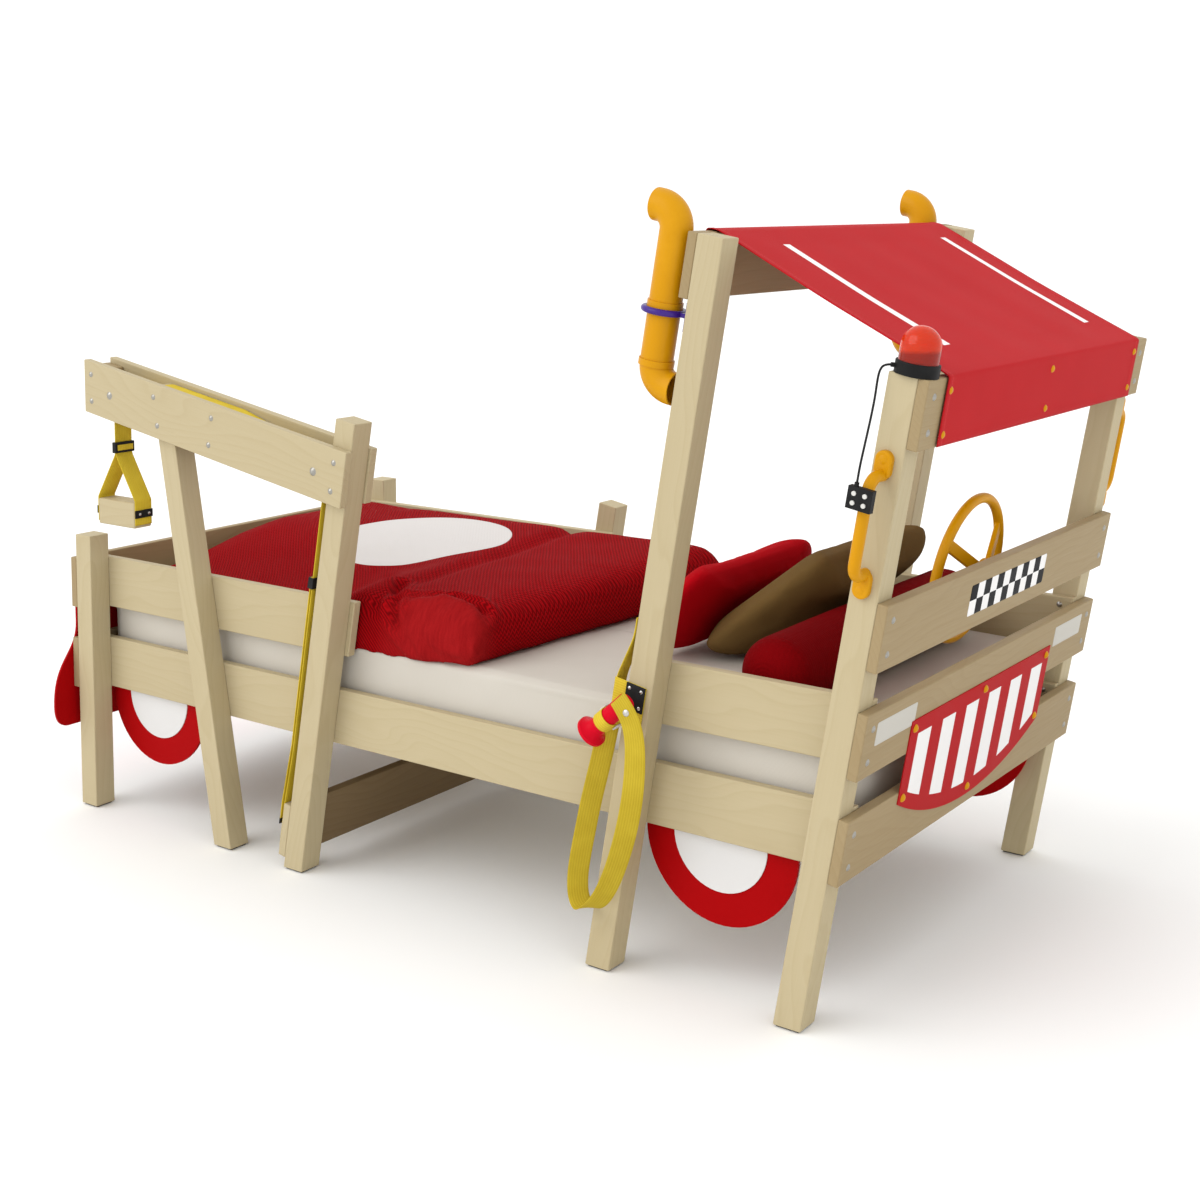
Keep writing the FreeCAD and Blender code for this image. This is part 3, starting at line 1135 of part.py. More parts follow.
def pillow(size, x, y, tilt, corner, belly):
    """A loft of rounded outlines, in which the belly makes the underside fuller than the top."""
    length, width, thick = size
    sections = []
    for level, share in PILLOW_LEVELS:
        a, b, r = share * length / 2, share * width / 2, share * corner
        z = level * thick / 2 * (belly if level < 0 else 1)
        draw, cut = PINCH * share, r * (1 - math.sqrt(0.5))
        edges = []
        for sx, sy in ((1, 1), (-1, 1), (-1, -1), (1, -1)):
            ends = [V(sx * a, sy * (b - r), z), V(sx * (a - r), sy * b, z)]
            if sx != sy:
                ends.reverse()
            edges.append(arc(ends[0], V(sx * (a - cut), sy * (b - cut), z), ends[1]))
            waist = V(0, sy * (b - draw), z) if sx == sy else V(sx * (a - draw), 0, z)
            onward = V(-ends[1].x, ends[1].y, z) if sx == sy else V(ends[1].x, -ends[1].y, z)
            edges.append(arc(ends[1], waist, onward))
        sections.append(Part.Wire(edges))
    form = Part.makeLoft(sections, True, False)
    form = moved(form, FreeCAD.Placement(V(x, y, 0), FreeCAD.Rotation(V(0, 1, 0), -tilt)))
    rest = BED_TOP + REST - form.optimalBoundingBox().ZMin
    return moved(form, FreeCAD.Placement(V(0, 0, rest), FreeCAD.Rotation()))


nodes["red_pillow"] = [pillow(RED_PILLOW, RED_PILLOW_X, RED_PILLOW_Y, RED_PILLOW_TILT,
                              RED_PILLOW_CORNER, RED_PILLOW_BELLY)]
nodes["olive_pillow"] = [pillow(OLIVE_PILLOW, OLIVE_PILLOW_X, OLIVE_PILLOW_Y, OLIVE_PILLOW_TILT,
                                OLIVE_PILLOW_CORNER, OLIVE_PILLOW_BELLY)]

# Bolster: a long round-ended roll across the bed, near the cab's front.
bolster_z = BED_TOP + REST + BOLSTER_R
bolster = rod(BOLSTER_R, (BOLSTER_X, BOLSTER_NEAR, bolster_z), (BOLSTER_X, BOLSTER_FAR, bolster_z))
nodes["red_bolster"] = [bolster.makeFillet(BOLSTER_END, [bolster.Edges[0], bolster.Edges[2]])]

# Screw holes in the timber, and the screws.
TIMBER = ("foot_posts", "crane_strut", "crane_mast", "far_middle_post", "rear_cab_posts",
          "front_cab_posts", "bed_rails", "side_guards", "foot_boards", "cab_cross_boards",
          "crane_arm_boards", "arm_spacer_blocks")
for name in TIMBER:
    nodes[name] = [drilled(solid) for solid in nodes[name]]
wood_screw = fused(dome(HEAD_R, HEAD_RISE), rod(SHANK_R, (0, 0, -SHANK_LENGTH), (0, 0, 0)))
nodes["frame_screws"] = [aimed(wood_screw, point, direction) for point, direction in screws]

# The origin is at the middle of the bed's outline, on the floor.
CORDS = ("beacon_cable", "hose_webbing")
body = Part.makeCompound([s for name, solids in nodes.items() if name not in CORDS for s in solids])
extent = body.optimalBoundingBox()
HOME = FreeCAD.Placement(V(-extent.Center.x, -extent.Center.y, 0), FreeCAD.Rotation())

os.makedirs("parts", exist_ok=True)
for name, solids in nodes.items():
    for solid in solids:
        if not solid.isValid() or solid.Volume <= 0:
            print("check", name, solid.ShapeType, solid.isValid(), solid.Volume)
    Part.makeCompound([moved(solid, HOME) for solid in solids]).exportStep("parts/%s.step" % name)

# Values for the joints, in the finished frame.
def tell(label, point, direction=None):
    spot = HOME.multVec(point)
    print(label, "at", [round(c / 1000, 6) for c in spot], "along",
          [round(c, 6) for c in direction] if direction else "")


lean_n = FRONT.Rotation.multVec(V(1, 0, 0))
lean_u = FRONT.Rotation.multVec(V(0, 0, 1))
tell("home", V(0, 0, 0))
tell("steering", FRONT.multVec(wheel_mid), lean_n)
tell("near periscope", REAR.multVec(V(TUBE_N, POST_Y, RING_U)), lean_u)
tell("far periscope", REAR.multVec(V(TUBE_N, OVERALL_Y - POST_Y, RING_U)), lean_u)
tell("tip roller", TIP_AXIS, V(0, 1, 0))
tell("mast roller", MAST.multVec(V(MAST_ROLLER_N, POST_Y, ROLLER_U)), V(0, 1, 0))
tell("nozzle", nozzle_tip, NOZZLE_WAY * -1)
size = (extent.XLength, extent.YLength, extent.ZLength)
print("size", [round(c, 2) for c in size], "low", round(extent.ZMin, 3))
print("nodes", len(nodes), "solids", sum(len(s) for s in nodes.values()))
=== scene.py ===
import bpy
import math
import mathutils
import numpy as np
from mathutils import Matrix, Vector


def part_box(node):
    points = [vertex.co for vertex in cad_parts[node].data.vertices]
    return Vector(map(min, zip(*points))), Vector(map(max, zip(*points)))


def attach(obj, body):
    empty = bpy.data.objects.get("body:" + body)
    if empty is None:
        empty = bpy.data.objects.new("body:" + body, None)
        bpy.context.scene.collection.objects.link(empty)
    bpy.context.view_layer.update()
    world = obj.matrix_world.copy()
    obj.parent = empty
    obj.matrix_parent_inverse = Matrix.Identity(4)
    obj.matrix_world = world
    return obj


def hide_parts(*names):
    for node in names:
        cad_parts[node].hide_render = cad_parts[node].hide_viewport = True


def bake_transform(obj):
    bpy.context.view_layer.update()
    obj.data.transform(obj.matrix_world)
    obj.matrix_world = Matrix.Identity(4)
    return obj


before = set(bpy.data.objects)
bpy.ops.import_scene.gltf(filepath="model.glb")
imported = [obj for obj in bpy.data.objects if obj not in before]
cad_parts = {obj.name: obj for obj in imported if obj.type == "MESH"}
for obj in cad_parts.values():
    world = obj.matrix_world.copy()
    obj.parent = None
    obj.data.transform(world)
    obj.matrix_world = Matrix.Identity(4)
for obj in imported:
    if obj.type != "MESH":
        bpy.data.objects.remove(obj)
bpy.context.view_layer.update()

# Timber posts: planed pine, 54 mm square, cut level at the foot and square at the top. The two foot posts
# stand upright and the others lean ten degrees, so each one's grain is turned to run along it.
LEAN = math.radians(10)
foot_low, foot_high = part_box("foot_posts")
HOME = np.array([foot_high[0], foot_low[1], 0.0])


def place(points):
    """Points measured in millimetres from the foot posts' inner face, the near posts' outer face and the
    floor, carried into the model's frame in metres."""
    return np.asarray(points, float) / 1000 + HOME


def in_side_view(foot_x, n, u):
    """(x, z) in millimetres of a point on a leaning post, n square to its cab side and u up its length: the
    foot plus n times the face's normal plus u times the post's direction."""
    return foot_x + n * math.cos(LEAN) + u * math.sin(LEAN), u * math.cos(LEAN) - n * math.sin(LEAN)


def leaning(foot_x, points):
    """Points given as (n, y, u) on a leaning post, carried into the model's frame."""
    n, y, u = np.moveaxis(np.asarray(points, float), -1, 0)
    x, z = in_side_view(foot_x, n, u)
    return place(np.stack([x, y, z], -1))


MAST_X, REAR_X, FRONT_X = 689.0, 1503.0, 1913.0


class Wave:
    """A number or colour that a material works out at each point. Arithmetic on it adds the matching node."""

    __array_ufunc__ = None

    def __init__(self, socket):
        self.socket = socket

    def __add__(self, other):
        return reckoned("ADD", self, other)

    def __sub__(self, other):
        return reckoned("SUBTRACT", self, other)

    def __rsub__(self, other):
        return reckoned("SUBTRACT", other, self)

    def __mul__(self, other):
        return reckoned("MULTIPLY", self, other)

    def __truediv__(self, other):
        return reckoned("DIVIDE", self, other)

    def __lt__(self, other):
        return reckoned("LESS_THAN", self, other)

    def __gt__(self, other):
        return reckoned("GREATER_THAN", self, other)

    __radd__, __rmul__ = __add__, __mul__


def fed(socket, value):
    """Fills a node's input: a wave is linked to it, and a number or colour is put on it."""
    if isinstance(value, Wave):
        socket.id_data.links.new(value.socket, socket)
    else:
        socket.default_value = (*value, 1.0) if socket.type == "RGBA" else value


def reckoned(operation, *values, clamp=False):
    """One arithmetic node on waves and numbers."""
    tree = next(value for value in values if isinstance(value, Wave)).socket.id_data
    made = tree.nodes.new("ShaderNodeMath")
    made.operation = operation
    made.use_clamp = clamp
    for socket, value in zip(made.inputs, values):
        fed(socket, value)
    return Wave(made.outputs[0])


class Finish:
    """A material in the making, with its roughness and specular level set; its methods add nodes."""

    def __init__(self, name, rough, spec, **inputs):
        self.material = bpy.data.materials.new(name)
        self.material.use_nodes = True
        self.tree = self.material.node_tree
        self.shader = self.tree.nodes["Principled BSDF"]
        for key, value in {"Roughness": rough, "Specular IOR Level": spec, **inputs}.items():
            self.shader.inputs[key].default_value = value
        self.coords = self.add("TexCoord", "Object")

    def add(self, kind, output=0, **values):
        """A wave from one output of a new node, with its named inputs and settings filled in."""
        made = self.tree.nodes.new("ShaderNode" + kind)
        for key, value in values.items():
            if key in made.inputs:
                fed(made.inputs[key], value)
            else:
                setattr(made, key, value)
        return Wave(made.outputs[output])

    def axes(self, vector):
        """The three numbers of a vector."""
        made = self.add("SeparateXYZ", Vector=vector).socket.node
        return [Wave(output) for output in made.outputs]

    def noise(self, scale, detail=2.0, vector=None, rough=0.5):
        """Cloudy noise, on the piece's own coordinates unless others are given."""
        return self.add("TexNoise", Vector=vector or self.coords, Scale=scale, Detail=detail, Roughness=rough)

    def mix(self, share, first, second):
        """A colour between two colours, by a share."""
        made = self.tree.nodes.new("ShaderNodeMix")
        made.data_type = "RGBA"
        for number, value in ((0, share), (6, first), (7, second)):
            fed(made.inputs[number], value)
        return Wave(made.outputs[2])

    def ramp(self, value, *stops, smooth=False):
        """A value read through (place, grey) stops."""
        ramp = self.add("ValToRGB", Fac=value)
        colours = ramp.socket.node.color_ramp
        colours.interpolation = "EASE" if smooth else "LINEAR"
        while len(colours.elements) < len(stops):
            colours.elements.new(0.5)
        for element, (spot, grey) in zip(colours.elements, stops):
            element.position = spot
            element.color = (grey, grey, grey, 1.0)
        return ramp

    def surface(self, colour, height=None, strength=0.0, distance=0.0, rough=None):
        """Leads the colour, and any roughness and height, to the shader, and gives the material."""
        fed(self.shader.inputs["Base Color"], colour)
        if rough:
            fed(self.shader.inputs["Roughness"], rough)
        if height:
            bump = self.add("Bump", Strength=strength, Distance=distance, Height=height)
            fed(self.shader.inputs["Normal"], bump)
        return self.material


PALE_PINE, DARK_PINE, KNOT = (0.49, 0.415, 0.262), (0.415, 0.335, 0.192), (0.27, 0.125, 0.045)
RINGS_PER_METRE, RING_DRIFT, RING_BEND = 58.0, 15.0, 3.0


def pine(name, turn, pale=PALE_PINE, dark=DARK_PINE):
    """Lacquered pine whose grain runs along the turned X axis: slow tone from board to board, growth rings
    drawn out along the grain, fine fibres, and a few oval knots that the rings bend round."""
    finish = Finish(name, 0.5, 0.12)
    along = finish.add("Mapping", Vector=finish.coords, Rotation=turn)

    def stretched(lengthwise, across, shift=0.0):
        """Coordinates scaled along and across the grain, and shifted."""
        return finish.add("Mapping", Vector=along, Scale=(lengthwise, across, across), Location=(shift,) * 3)

    cells = finish.add("TexVoronoi", "Distance", Vector=stretched(2.1, 7.0), Scale=1.0, Randomness=0.9)
    pick = finish.add("SeparateColor", Color=Wave(cells.socket.node.outputs["Color"]))
    near = reckoned("SUBTRACT", 1.0, cells * 3.2, clamp=True)
    knot_pull = near * near * (pick > 0.74)
    drift = finish.noise(1.6, 2.0, stretched(0.9, 3.2, 4.0))
    side, up = finish.axes(along)[1:]
    ring_way = (side + up * 0.63) * RINGS_PER_METRE + drift * RING_DRIFT + knot_pull * RING_BEND
    ring_tones = ((0.0, 0.1), (0.62, 0.45), (0.9, 1.0), (1.0, 0.1))
    rings = finish.ramp(reckoned("FRACT", ring_way), *ring_tones, smooth=True)
    fibre = finish.noise(1.0, 3.0, stretched(9.0, 420.0), 0.6)
    tone = finish.noise(1.0, 1.0, stretched(0.5, 5.0, 9.0))
    share = reckoned("SUBTRACT", rings * 0.26 + fibre * 0.34 + tone * 0.75, 0.30, clamp=True)
    heart = finish.ramp(knot_pull, (0.55, 0.0), (0.72, 0.55), (0.80, 0.95), (1.0, 0.75))
    wood = finish.mix(heart, finish.mix(share, pale, dark), KNOT)
    gloss = finish.ramp(fibre, (0.3, 0.44), (0.7, 0.58))
    return finish.surface(wood, fibre * 0.6 + rings * -0.5, 0.22, 0.0006, gloss)


def clad(material, *names):
    """Gives CAD nodes a material in every slot."""
    for name in names:
        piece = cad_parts[name]
        if not piece.material_slots:
            piece.data.materials.append(material)
        for slot in piece.material_slots:
            slot.material = material


UPRIGHT = math.pi / 2
pine_up = pine("pine_upright", (0, UPRIGHT, 0))
pine_lean = pine("pine_leaning", (0, UPRIGHT - LEAN, 0))
pine_strut = pine("pine_strut", (0, UPRIGHT + LEAN, 0))
clad(pine_up, "foot_posts")
clad(pine_lean, "crane_mast", "far_middle_post", "rear_cab_posts", "front_cab_posts", "mast_cleat")
clad(pine_strut, "crane_strut")

# Rails, guards and end boards: planed pine boards, 120 by 20 mm, screwed to the posts. Lengthwise boards have
# their grain along the bed, cross boards across it, and the crane arm's two boards along the arm. The cross
# boards' pine is painted darker as painted shade, for the front faces that turn from the light, and the board
# that joins the feet near the floor is painted darker still, as painted shadow under the bed.
pine_long = pine("pine_lengthwise", (0, 0, 0))
# Painted shade: this crosswise pine is darker than the other pine so that the front boards look shaded.
pine_across_shaded = pine("pine_crosswise_painted_shade", (0, 0, UPRIGHT), (0.35, 0.265, 0.145), (0.285, 0.205, 0.103))
# Painted shadow: this board's dark pine stands in for the shadow under the bed, not for a stain.
pine_under_bed_shaded = pine("pine_painted_shade_floor", (0, 0, UPRIGHT), (0.21, 0.145, 0.075), (0.16, 0.105, 0.050))
pine_arm = pine("pine_arm", (0, -LEAN, 0))
clad(pine_long, "bed_rails", "side_guards", "tow_block")
clad(pine_across_shaded, "foot_boards", "cab_cross_boards", "slatted_base", "arm_spacer_blocks")
clad(pine_under_bed_shaded, "floor_cross_board")
clad(pine_arm, "crane_arm_boards")


# Screws, axles and felt glides: zinc-plated dome heads and steel axles that have dulled a little with
# handling, and grey felt pads glued under the feet.
def steel(name, bright):
    """Zinc-plated steel: a faint mottle in tone and roughness."""
    finish = Finish(name, 0.35, 0.5, Metallic=1.0)
    mottle = finish.noise(260.0, 3.0)
    dull = tuple(0.72 * part for part in bright)
    gloss = finish.ramp(mottle, (0.3, 0.26), (0.7, 0.46))
    return finish.surface(finish.mix(mottle, bright, dull), rough=gloss)


def felt(name, colour):
    """Pressed felt: a fibrous mottle in colour and height."""
    finish = Finish(name, 0.95, 0.1)
    fuzz = finish.noise(900.0, 4.0)
    light = tuple(1.6 * part for part in colour)
    return finish.surface(finish.mix(fuzz, colour, light), fuzz, 0.5, 0.0008)


clad(steel("zinc_steel", (0.40, 0.385, 0.35)), "frame_screws", "roller_axles")
clad(felt("grey_felt", (0.045, 0.045, 0.05)), "foot_glides")


# Crane webbing: yellow polyester webbing, 48 mm wide, led over the tip roller, the strut, the middle block
# and the mast roller, then down the mast to its cleat, with a free tail held by a black slider.
WEB_WIDTH, WEB_THICK = 48.0, 2.0


def added(name, data):
    """A new object in the scene, at the origin."""
    piece = bpy.data.objects.new(name, data)
    bpy.context.scene.collection.objects.link(piece)
    return piece


def put_mesh(name, points, faces, uvs=None, caps=()):
    """A smooth mesh object from arrays of places in metres and quads, with any end faces as lists of point
    numbers; uvs gives one pair for each point."""
    mesh = bpy.data.meshes.new(name)
    mesh.from_pydata(points.reshape(-1, 3), [], faces.tolist() + [list(cap) for cap in caps])
    if uvs is not None:
        corners = np.empty(len(mesh.loops), dtype=np.int32)
        mesh.loops.foreach_get("vertex_index", corners)
        layer = mesh.uv_layers.new(name="along")
        layer.data.foreach_set("uv", np.asarray(uvs, np.float32).reshape(-1, 2)[corners].ravel())
    mesh.polygons.foreach_set("use_smooth", np.full(len(mesh.polygons), True))
    mesh.update()
    return added(name, mesh)


def grid_faces(rows, columns, close_columns=False):
    """Quads of a grid of points numbered row by row, with each row closed on itself if asked."""
    i = np.arange(rows - 1)[:, None]
    j = np.arange(columns if close_columns else columns - 1)[None, :]
    j2 = (j + 1) % columns
    corners = [i * columns + j, i * columns + j2, (i + 1) * columns + j2, (i + 1) * columns + j]
    return np.stack([np.broadcast_to(c, (i.shape[0], j.shape[1])) for c in corners], -1).reshape(-1, 4)


def tube(name, points, flip=1, uvs=None):
    """A mesh from rings of points, closed round each ring and at both ends; flip -1 turns its faces over."""
    rows, columns = points.shape[:2]
    ring = np.arange(columns)
    caps = (ring[::-flip], ring[::flip] + (rows - 1) * columns)
    return put_mesh(name, points, grid_faces(rows, columns, close_columns=True)[:, ::flip], uvs, caps)


def run_along(path):
    """Length along a path at each of its places."""
    return np.concatenate([[0], np.cumsum(np.linalg.norm(np.diff(path, axis=0), axis=1))])


def rounded_path(points, radii, step):
    """Places along straight runs with a tangent arc at each inner point: each run is divided by the step and
    each arc turns about the centre that both of its runs touch."""
    points = np.asarray(points, float)
    places = []
    start = points[0]
    for before, corner, after, radius in zip(points, points[1:], points[2:], radii):
        back = (before - corner) / np.linalg.norm(before - corner)
        ahead = (after - corner) / np.linalg.norm(after - corner)
        half = (math.pi - math.acos(np.clip(back @ ahead, -1, 1))) / 2
        enter, leave = corner + back * radius * math.tan(half), corner + ahead * radius * math.tan(half)
        centre = corner + (back + ahead) / np.linalg.norm(back + ahead) * radius / math.cos(half)
        count = max(2, int(np.linalg.norm(enter - start) / step))
        places.append(start + (enter - start) * np.linspace(0, 1, count, endpoint=False)[:, None])
        turns = max(4, int(2 * half * radius / step))
        angle = np.linspace(0, 2 * half, turns, endpoint=False)[:, None]
        first = enter - centre
        places.append(centre + first * np.cos(angle) - back * radius * np.sin(angle))
        start = leave
    count = max(2, int(np.linalg.norm(points[-1] - start) / step))
    places.append(start + (points[-1] - start) * np.linspace(0, 1, count)[:, None])
    return np.concatenate(places)


def webbing_profile(width, thick):
    """Half-round edges and a flat face each side, as (across, through) pairs once round the webbing: the
    faces carry points every few millimetres so that the weave can follow a bend."""
    flat = np.linspace(-0.5, 0.5, 9) * (width - thick)
    turn = np.linspace(-math.pi / 2, math.pi / 2, 5)[1:-1]
    top = np.stack([flat, np.full(9, thick / 2)], -1)
    right = np.stack([(width - thick) / 2 + thick / 2 * np.cos(turn), -thick / 2 * np.sin(turn)], -1)
    return np.concatenate([top, right, -top, -right])


def carried(name, path, across, profile):
    """A profile carried along a path: each ring is the path's place plus the profile's first number along the
    across direction and its second along the normal; both ends are closed. UV is length and profile run."""
    path = np.asarray(path, float)
    across = np.broadcast_to(np.asarray(across, float), path.shape)
    ahead = np.gradient(path, axis=0)
    ahead /= np.linalg.norm(ahead, axis=1, keepdims=True)
    across = across - ahead * np.sum(across * ahead, axis=1, keepdims=True)
    across = across / np.linalg.norm(across, axis=1, keepdims=True)
    through = np.cross(across, ahead)
    rings = path[:, None] + across[:, None] * profile[None, :, :1] + through[:, None] * profile[None, :, 1:]
    uvs = np.stack(np.broadcast_arrays(run_along(path)[:, None], profile[None, :, 0]), -1)
    return tube(name, rings, uvs=uvs)


def ripple(way, length):
    """A sine wave along a way, with a given wave length."""
    return reckoned("SINE", way * (2 * math.pi / length))


def webbing(name, colour, dark):
    """Woven webbing on its length and width: slanted twill ribs in mirrored halves, with painted shade that
    darkens the grooves between the ribs, fine picks along it, and a slow change of tone along the length."""
    finish = Finish(name, 0.7, 0.1)
    run, side = finish.axes(finish.add("UVMap", uv_map="along"))[:2]
    ribs = ripple(run * 420.0 + reckoned("ABSOLUTE", side) * 330.0, 1.0)
    weave = (ribs + ripple(side, 1 / 210.0) * 1.4) * 0.25
    # Painted shade: the colour goes dark where the weave is low, between the ribs; the noise adds a real
    # change of tone.
    share = reckoned("ADD", weave * -0.5, finish.noise(22.0, 3.0) * 0.9, clamp=True)
    return finish.surface(finish.mix(share, colour, dark), weave, 0.55, 0.0006)


yellow_webbing = webbing("yellow_webbing", (0.70, 0.525, 0.045), (0.48, 0.34, 0.016))


def on_mast(path):
    """Places (n, u) at mid width of the webbing in the mast's frame, in the model's frame."""
    path = np.asarray(path)
    return leaning(MAST_X, np.stack([path[:, 0], np.full(len(path), 27.0), path[:, 1]], -1))


def declared(piece, material, body, slot, *nodes):
    """Gives a new piece its material, the body that carries it and the nodes that it stands for; the slot is
    not used.
    """
    piece.data.materials.append(material)
    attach(piece, body)
    if nodes:
        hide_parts(*nodes)
    return piece


def strap(name, path, across, width, body, *nodes, thick=WEB_THICK):
    """A length of yellow webbing along a path in metres."""
    piece = carried(name, path, across, webbing_profile(width / 1000, thick / 1000))
    return declared(piece, yellow_webbing, body, "yellow_webbing", *nodes)


ROLLER_U, TIP_N, MAST_ROLLER_N, WRAP = 886.0, -744.0, -82.0, 13.3
OVER_U, CLEAT_N, WEB_N = 938.3, -75.3, -68.7


def meets(point, centre, side):
    """Direction from a point along the line that just touches a roller's wrap circle on one side."""
    away = np.subtract(centre, point)
    return math.atan2(away[1], away[0]) + side * math.asin(WRAP / np.linalg.norm(away))


strut_edge, block_edge = (-612.0, OVER_U), (-372.0, OVER_U)
to_tip = meets(strut_edge, (TIP_N, ROLLER_U), -1)
to_mast = meets(block_edge, (MAST_ROLLER_N, ROLLER_U), 1)
over_tip = np.linspace(math.radians(158), to_tip - math.pi / 2, 12)[:, None]
over_tip = (TIP_N, ROLLER_U) + WRAP * np.concatenate([np.cos(over_tip), np.sin(over_tip)], 1)
mast_corner = (WEB_N, OVER_U + (WEB_N + 372.0) * math.tan(to_mast))
run = [over_tip[-1], strut_edge, block_edge, mast_corner, (WEB_N, 256.0), (CLEAT_N, 136.0), (CLEAT_N, 36.0)]
run = np.concatenate([over_tip[:-1], rounded_path(run, (54, 54, WRAP, 120, 120), 8.0)])
tail = rounded_path([(-74.7, 652.0), (-74.7, 272.0), (-83.3, 136.0), (-83.3, 92.0)], (120, 120), 10.0)
strap("webbing_run", on_mast(run), (0, 1, 0), WEB_WIDTH, "bed", "crane_webbing")
strap("webbing_tail", on_mast(tail), (0, 1, 0), WEB_WIDTH, "bed")


# Buckles and clips: moulded black plastic with a fine matt grain. A slider joins the webbing's layers on the
# mast, a dipped tip seals its tail, and the tow load has a ladder buckle and two screwed clamp strips.
def moulded(name, colour, light, rough, spec=0.12, grain=700.0, depth=0.25):
    """Moulded plastic: a fine spark grain in height, slight unevenness in gloss, lighter rubbed patches."""
    finish = Finish(name, rough, spec)
    rub = finish.noise(11.0, 4.0, rough=0.6)
    worn = finish.ramp(rub, (0.45, 0.0), (0.75, 1.0), smooth=True)
    gloss = finish.ramp(rub, (0.3, rough - 0.06), (0.7, rough + 0.08))
    return finish.surface(finish.mix(worn, colour, light), finish.noise(grain), depth, 0.0003, gloss)


black_plastic = moulded("black_plastic", (0.009, 0.009, 0.009), (0.020, 0.020, 0.021), 0.5)
clad(black_plastic, "webbing_slider", "tow_buckle", "tow_block_clips", "tip_roller", "mast_roller")
tip_profile = webbing_profile((WEB_WIDTH + 1.5) / 1000, 0.0034)
tip = carried("webbing_tail_tip", on_mast([(-83.3, 96.0), (-83.3, 84.0)]), (0, 1, 0), tip_profile)
declared(tip, black_plastic, "bed", "black_plastic")


# Tow load: webbing hangs from the tip roller to the buckle, and a sling of the same webbing runs from the
# buckle down both ends of a pine block, under its clamp strips. Each strip has two screws.
BUCKLE_TOP, SLING_TOP, SLING_SPREAD, SLING_KNEE, SLING_END = 0.880, 0.8755, 0.861, 0.758, 0.701
roller = leaning(MAST_X, (TIP_N, 27.0, ROLLER_U))
hang_angle = np.linspace(math.radians(112), math.pi, 12)
hang_r = (WRAP + 0.5) / 1000
hang = np.stack([roller[0] + hang_r * np.cos(hang_angle), np.full(12, roller[1]),
                 roller[2] + hang_r * np.sin(hang_angle)], -1)
hang_x = roller[0] - WRAP / 1000
drop = np.linspace(roller[2] - 0.004, BUCKLE_TOP, 24)
hang = np.concatenate([hang, np.stack([np.full(24, hang_x), np.full(24, roller[1]), drop], -1)])
hanging = carried("hanging_strap", hang, (0, 1, 0), webbing_profile(WEB_WIDTH / 1000, WEB_THICK / 1000))
hanging.data.materials.append(yellow_webbing)
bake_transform(hanging)
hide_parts("hanging_webbing")
block_low, block_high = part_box("tow_block")
limb_nodes = ["tow_sling"]
for side, word in ((-1, "foot"), (1, "cab")):
    neck, end = side * 0.00115, side * ((block_high[0] - block_low[0]) / 2 + 0.0013)
    limb = np.array([(neck, SLING_TOP), (neck, SLING_SPREAD), (end, SLING_KNEE), (end, SLING_END)])
    limb = rounded_path(limb, (0.016, 0.008), 0.004)
    limb = np.stack([hang_x + limb[:, 0], np.full(len(limb), roller[1]), limb[:, 1]], -1)
    strap("sling_limb_" + word, limb, (0, 1, 0), WEB_WIDTH, "tow_load", *limb_nodes)
    limb_nodes = []


def domes(name, spots, axis, radius, rise):
    """Round heads on one mesh: each is a cap of circles whose height falls with the square of the radius,
    closed underneath; the axis is the way they face."""
    axis = np.asarray(axis, float) / np.linalg.norm(axis)
    first = np.cross(axis, (0, 0, 1.0))
    first /= np.linalg.norm(first)
    second = np.cross(axis, first)
    share = np.array([0.08, 0.4, 0.7, 0.9, 1.0, 1.0])
    height = np.append(rise * (1 - 0.8 * share[:-1] ** 2), 0.0)
    angle = np.linspace(0, 2 * math.pi, 24, endpoint=False)
    around = np.cos(angle)[:, None] * first + np.sin(angle)[:, None] * second
    head = share[:, None, None] * radius * around + height[:, None, None] * axis
    points = np.asarray(spots)[:, None, None, :] + head[None]
    count, rows, columns = points.shape[:3]
    start = np.arange(count)[:, None, None] * rows * columns
    faces = (grid_faces(rows, columns, close_columns=True)[None] + start).reshape(-1, 4)
    ring = np.arange(columns)
    starts = start.ravel()
    caps = [ring[::-1] + begin for begin in starts]
    caps += [ring + begin + (rows - 1) * columns for begin in starts]
    return put_mesh(name, points, faces, caps=caps)


clip_low, clip_high = np.array(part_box("tow_block_clips"))
clip_mid = (clip_low + clip_high) / 2
zinc_bright = steel("bright_zinc", (0.62, 0.61, 0.59))
for side, clip_x, word in ((-1, clip_low[0], "foot"), (1, clip_high[0], "cab")):
    heads = [(clip_x, clip_mid[1] + shift, clip_mid[2]) for shift in (-0.013, 0.013)]
    clamp_screws = domes("clamp_screws_" + word, heads, (side, 0, 0), 0.0032, 0.0014)
    declared(clamp_screws, zinc_bright, "tow_load", "steel")
buckle_low, buckle_high = np.array(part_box("tow_buckle"))
bar = np.linspace(buckle_low[2] + 0.006, buckle_high[2] - 0.006, 8)
for side, buckle_x, word in ((-1, buckle_low[0], "foot"), (1, buckle_high[0], "cab")):
    threaded = np.stack([np.full(8, buckle_x + side * 0.0009), np.full(8, roller[1]), bar], -1)
    strap("threaded_webbing_" + word, threaded, (0, 1, 0), 44.0, "tow_load", thick=1.6)


# Beacon cable: a thin black two-core cable from the beacon's gland, hanging slack beside the post to the
# gland on top of the control box. The photograph shows all of it.
def spline_curve(name, points):
    """A smooth open curve with the route's points as its control points."""
    curve = bpy.data.curves.new(name, "CURVE")
    curve.dimensions = "3D"
    curve.resolution_u = 12
    spline = curve.splines.new("NURBS")
    spline.points.add(len(points) - 1)
    spline.points.foreach_set("co", np.column_stack([points, np.ones(len(points))]).ravel())
    spline.order_u = 3
    spline.use_endpoint_u = True
    return added(name, curve)


